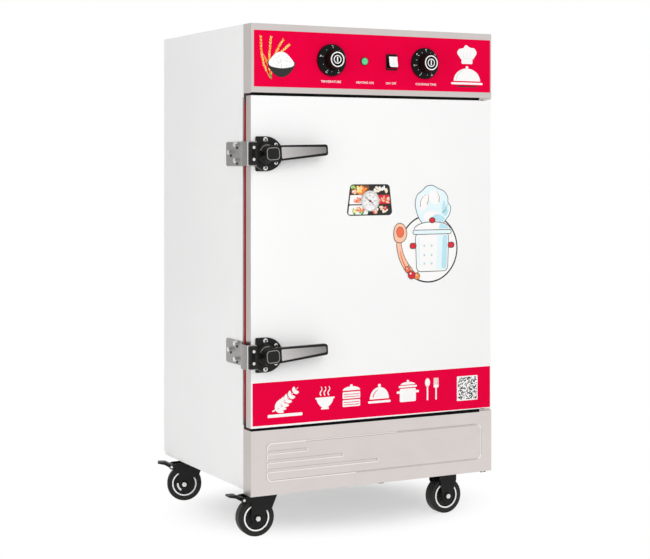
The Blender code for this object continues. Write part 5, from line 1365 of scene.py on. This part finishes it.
LEFTWARD = (-1.0, 0.0, 0.0)
for which, z in LATCHES.items():
    shape = bmesh.new()
    for dx, dz, radius in ((-1.5, 34.2, 6.7), (27.0, 22.0, 5.4), (27.0, -21.6, 5.4), (-1.5, -34.2, 6.4)):
        pan_head(shape, (HUB_X + dx, -5.0, z + dz), FORWARD, radius, 2.4)
    disc = [(max(HUB_X - 27.0, x), up) for x, up in oval(HUB_X, z, 46.0, 42.4, steps=72)]
    slab(shape, disc, -5.0, -0.4, 2)
    # A light grey arc on the lower left edge of the disc: painted highlight.
    slab(shape, stroke(arc(HUB_X, z, 40.6, 222, 262, 10), 1.2, 0.6), -5.3, -4.6, 3)
    finish_piece(f"latch_screws_{which}", shape, ["zinc_plated_steel", "black_abs", "black_nylon", "highlight_nylon"],
                 "door", 0.5, closed=False)
    shape = bmesh.new()
    for dz in (15.0, -14.0):
        lathe(shape, [(3.9, 0.0), (3.7, 0.9), (2.1, 1.5), (0.0, 1.6)], (-361.5, -41.8, z + dz), FORWARD, 0, 20)
    slab(shape, panel(-366.5, -358.5, z - 8.5, z + 9.5, 2.0), -42.3, -41.6, 1)
    for y, dz in ((76.0, 23.0), (113.0, 4.0), (76.0, -16.0)):
        lathe(shape, [(6.2, 0.0), (6.2, 7.6), (5.2, 8.8), (0.0, 9.2)], (-352.3, y, z + dz), LEFTWARD, 0, 24)
        # A black disc under each bolt head: painted shadow.
        lathe(shape, [(3.6, -0.4), (3.6, 1.4), (0.0, 1.4)], (-351.9, y, z + dz - 7.6), LEFTWARD, 1, 16)
    # A zinc strip on the strike's front edge: painted highlight.
    slab(shape, panel(-376.6, -373.0, z - 29.4, z + 29.4, 1.2), -36.6, -36.1, 0)
    finish_piece(f"strike_fixings_{which}", shape, ["zinc_plated_steel", "black_abs"], "cabinet",
                 closed=False)
print("screws and rivets")

# %% [markdown]
# ## Casters
#
# Each wheel is a polyurethane tyre on a nylon hub, with a light ring between them. Tyre, ring and
# hub are turned round the axle of the wheel's joint, so they line up with it and with one another.

# %% Wheels
WHEEL_HALF = 15.0
HUB_RIBS = 8
joints = {j["name"]: j for j in frame["joints"]}


def make_wheel(corner):
    """A tyre, a ring and a ribbed hub, round the axle of its wheel's solid."""
    low, high = box_mm(f"caster_wheel_{corner}")
    centre = (low + high) / 2
    axis = Vector(joints[f"wheel_spin_{corner}"]["axis"])
    shape = bmesh.new()
    rim = [(32.6, 0.8), (35.0, 0.0), (42.0, 0.0), (44.6, 0.5), (45.9, 1.9), (46.4, 4.2), (46.5, 8.0)]
    tyre = [(r, inset - WHEEL_HALF) for r, inset in rim] + [(r, WHEEL_HALF - inset) for r, inset in reversed(rim)]
    lathe(shape, tyre, centre, axis, 0, 96)
    ring = [(32.9, 0.9), (32.9, 0.4), (29.4, 0.4), (29.4, 1.2)]
    disc = [(29.7, 1.2), (29.0, 1.8), (27.6, 3.6), (16.0, 4.0), (14.0, 2.4), (13.0, -0.8), (4.6, -0.8), (4.6, 4.0)]
    for side in (-1, 1):
        for profile, finish in ((ring, 2), (disc, 1)):
            lathe(shape, [(r, side * (WHEEL_HALF - inset)) for r, inset in profile], centre, axis, finish, 72)
        for k in range(HUB_RIBS):
            lean = upright_along(centre, axis) @ Matrix.Rotation(math.tau * k / HUB_RIBS, 4, "Z")
            corners = [(14.0, -1.0), (27.8, -0.8), (27.8, 0.8), (14.0, 1.0)]
            top, foot = ([shape.verts.new(lean @ Vector((u, v, side * (WHEEL_HALF - inset)))) for u, v in corners]
                         for inset in (2.6, 4.4))
            for face in [top] + [(top[i - 1], top[i], foot[i], foot[i - 1]) for i in range(4)]:
                shape.faces.new(face).material_index = 1
    bmesh.ops.recalc_face_normals(shape, faces=shape.faces)
    finish_piece(f"wheel_{corner}_detail", shape, ["polyurethane_tread", "black_nylon", "ring_white"],
                 f"wheel_{corner}", closed=False, stands_for=(f"caster_wheel_{corner}",))
    return centre, axis


axles = {corner: make_wheel(corner) for corner in CORNERS}
for corner, (centre, axis) in axles.items():
    print("axle", corner, "at", tuple(round(v, 1) for v in centre))

# %% [markdown]
# **Axle nuts and pedal pins** hold wheel and pedal in the fork. A nut is a turned body with six
# steps round, so the helper for turned bodies makes washers, nuts and bolt ends. They ride on the
# fork, because an axle nut stands still while the wheel spins.

# %% Axle nuts and pedal pins
for corner, (centre, axis) in axles.items():
    body = f"fork_{corner}" if "left" in corner else "cabinet"
    shape = bmesh.new()
    for out in (-axis, axis):
        lathe(shape, [(9.6, 20.6), (9.6, 21.2), (9.0, 21.5), (4.0, 21.5)], centre, out, 1, 32)
        lathe(shape, [(7.2, 21.4), (7.2, 26.2), (6.4, 27.4), (3.2, 27.6)], centre, out, 0, 6)
        lathe(shape, [(3.6, 26.8), (3.6, 28.6), (2.6, 29.2), (0.0, 29.2)], centre, out, 0, 20)
    finish_piece(f"axle_nuts_{corner}", shape, ["zinc_plated_steel", "black_abs"], body,
                 closed=False)
for corner in ("front_left", "rear_left"):
    pivot = in_mm(joints[f"brake_press_{corner}"]["pos_m"])
    axis = Vector(joints[f"brake_press_{corner}"]["axis"])
    shape = bmesh.new()
    for out in (-axis, axis):
        lathe(shape, [(3.6, 20.3), (3.6, 21.6), (2.6, 22.5), (0.0, 22.8)], pivot, out, 0, 20)
    finish_piece(f"pedal_pin_{corner}", shape, ["zinc_plated_steel"], f"fork_{corner}",
                 closed=False)
    print("pedal pin", corner, tuple(round(v, 1) for v in pivot))

# %% [markdown]
# **Fork shoulders** are the pressed cheeks at the head of each fork. Every fork stands at its own
# angle, so the cheeks are drawn flat, and a matrix made from swivel and axle stands them up.

# %% Fork shoulders
CHEEK_IN, CHEEK_OUT = 18.0, 20.4
SWIVEL_CHEEK = [(-10, 92), (4, 66), (20, 62), (37, 103), (-10, 103)]
FRONT_CHEEK = [(-22, 116.8), (-18, 62), (20, 62), (28.5, 86), (28.5, 116.8)]
REAR_CHEEK = [(-30.5, 116.8), (-30.5, 84), (-20, 64), (20, 62), (28.5, 86), (28.5, 116.8)]


def stand_on(place, along, across):
    """A matrix that lays x along one direction and y along another, at a place."""
    return Matrix.Translation(place) @ Matrix((along, across, (0, 0, 1))).transposed().to_4x4()


for corner, (centre, axis) in axles.items():
    if "left" in corner:
        post, body = in_mm(joints[f"swivel_{corner}"]["pos_m"]), f"fork_{corner}"
        back = Vector((post.x - centre.x, post.y - centre.y, 0.0)).normalized()
        front_cheek, rear_cheek, bridge = SWIVEL_CHEEK, SWIVEL_CHEEK, panel(20, 36.5, 98.5, 103.0, 1.0)
    else:
        post, body = centre, "cabinet"
        back = Vector((1.0, 0.0, 0.0))
        front_cheek, rear_cheek, bridge = FRONT_CHEEK, REAR_CHEEK, panel(-30.5, 28.5, 98.0, 116.8, 1.0)
    shape = bmesh.new()
    slab(shape, rounded(rear_cheek, 1.6), CHEEK_IN, CHEEK_OUT)
    slab(shape, rounded(front_cheek, 1.6), -CHEEK_OUT, -CHEEK_IN)
    slab(shape, bridge, -CHEEK_IN - 0.4, CHEEK_IN + 0.4)
    shape.transform(stand_on((post.x, post.y, 0.0), back, Vector((0.0, 0.0, 1.0)).cross(back)))
    finish_piece(f"fork_shoulder_{corner}", shape, ["black_powder_coat"], body, 0.5)
    print("shoulder", corner, [round(v, 1) for v in post])

# %% [markdown]
# ** Small parts below.** A bright zinc arc beside the rear hub is a painted highlight. Two earthing
# studs and the nut of the drain show as dark points under the cabinet. They are turned bodies that
# point down, and one loop makes the three.

# %% Painted highlight at the rear hub, studs under the front edge and the drain's nut
centre, axis = axles["rear_left"]
facing = axis if axis.y < 0 else -axis
shape = bmesh.new()
slab(shape, stroke(arc(0.0, 0.0, 16.5, 172, 244, 12), 7.0, 8.6), -17.6, -14.2)
shape.transform(stand_on(centre, Vector((0.0, 0.0, 1.0)).cross(facing), -facing))
finish_piece("hub_glint_rear_left", shape, ["zinc_plated_steel"], "fork_rear_left", 0.5)
STUD = [(0.0, 0.0), (2.6, 0.0), (2.6, 9.6), (3.8, 10.0), (3.8, 13.8), (3.0, 14.8), (0.0, 14.8)]
DRAIN_NUT = [(10.7, 0.0), (12.0, 0.0), (12.6, 0.8), (12.6, 12.2), (12.0, 13.0), (10.7, 13.0)]
shape = bmesh.new()
for profile, place, steps in ((STUD, (327.0, 14.0, 117.0), 20), (STUD, (337.0, 14.0, 117.0), 20),
                              (DRAIN_NUT, (154.0, 250.0, 61.0), 24)):
    lathe(shape, profile, place, (0.0, 0.0, -1.0), 0, steps)
finish_piece("earthing_studs", shape, ["black_nylon"], "cabinet")
print("glint, two studs and a nut")

# %% [markdown]
# ## Back of the cabinet
#
# Nothing of the back shows in the photograph. Such cabinets have a plain sheet held by screws, with
# pressed louvres that let heat out behind the controls.

# %% Louvre hoods and screws on the back
BACK = 565.0
BACKWARD = (0.0, 1.0, 0.0)
LOUVRE_ROWS, LOUVRE_COLUMNS = 2, 6
LOUVRE_LEFT, LOUVRE_TOP, LOUVRE_PITCH, LOUVRE_DROP = -237.5, 1199.0, 95.0, 22.0
LOUVRE_SECTION = ((7.5, 0.05), (6.0, 1.6), (2.5, 4.0), (-2.5, 5.2), (-3.4, 5.0))
shape = bmesh.new()
for row in range(LOUVRE_ROWS):
    for column in range(LOUVRE_COLUMNS):
        x, z = LOUVRE_LEFT + LOUVRE_PITCH * column, LOUVRE_TOP - LOUVRE_DROP * row
        rows = []
        for dz, out in LOUVRE_SECTION:
            half = 38.0 - 1.2 * out
            rows.append([shape.verts.new((x + u * half, BACK + out * (1 - abs(u) ** 6), z + dz))
                         for u in (-1, -0.94, -0.8, -0.4, 0, 0.4, 0.8, 0.94, 1)])
        for a, b in zip(rows, rows[1:]):
            for i in range(8):
                shape.faces.new((a[i], b[i], b[i + 1], a[i + 1]))
edge_screws = [(x, z) for x in (-335.0, -168.0, 0.0, 168.0, 335.0) for z in (1245.0, 140.0)]
edge_screws += [(x, z) for x in (-335.0, 335.0) for z in (360.0, 580.0, 800.0, 1020.0)]
for x, z in edge_screws:
    pan_head(shape, (x, BACK, z), BACKWARD, 4.4, 2.2, 1, 2)
finish_piece("back_fittings", shape, ["white_enamel", "zinc_plated_steel", "black_abs"], "cabinet",
             closed=False)
print(LOUVRE_ROWS * LOUVRE_COLUMNS, "louvres and", len(edge_screws), "screws")
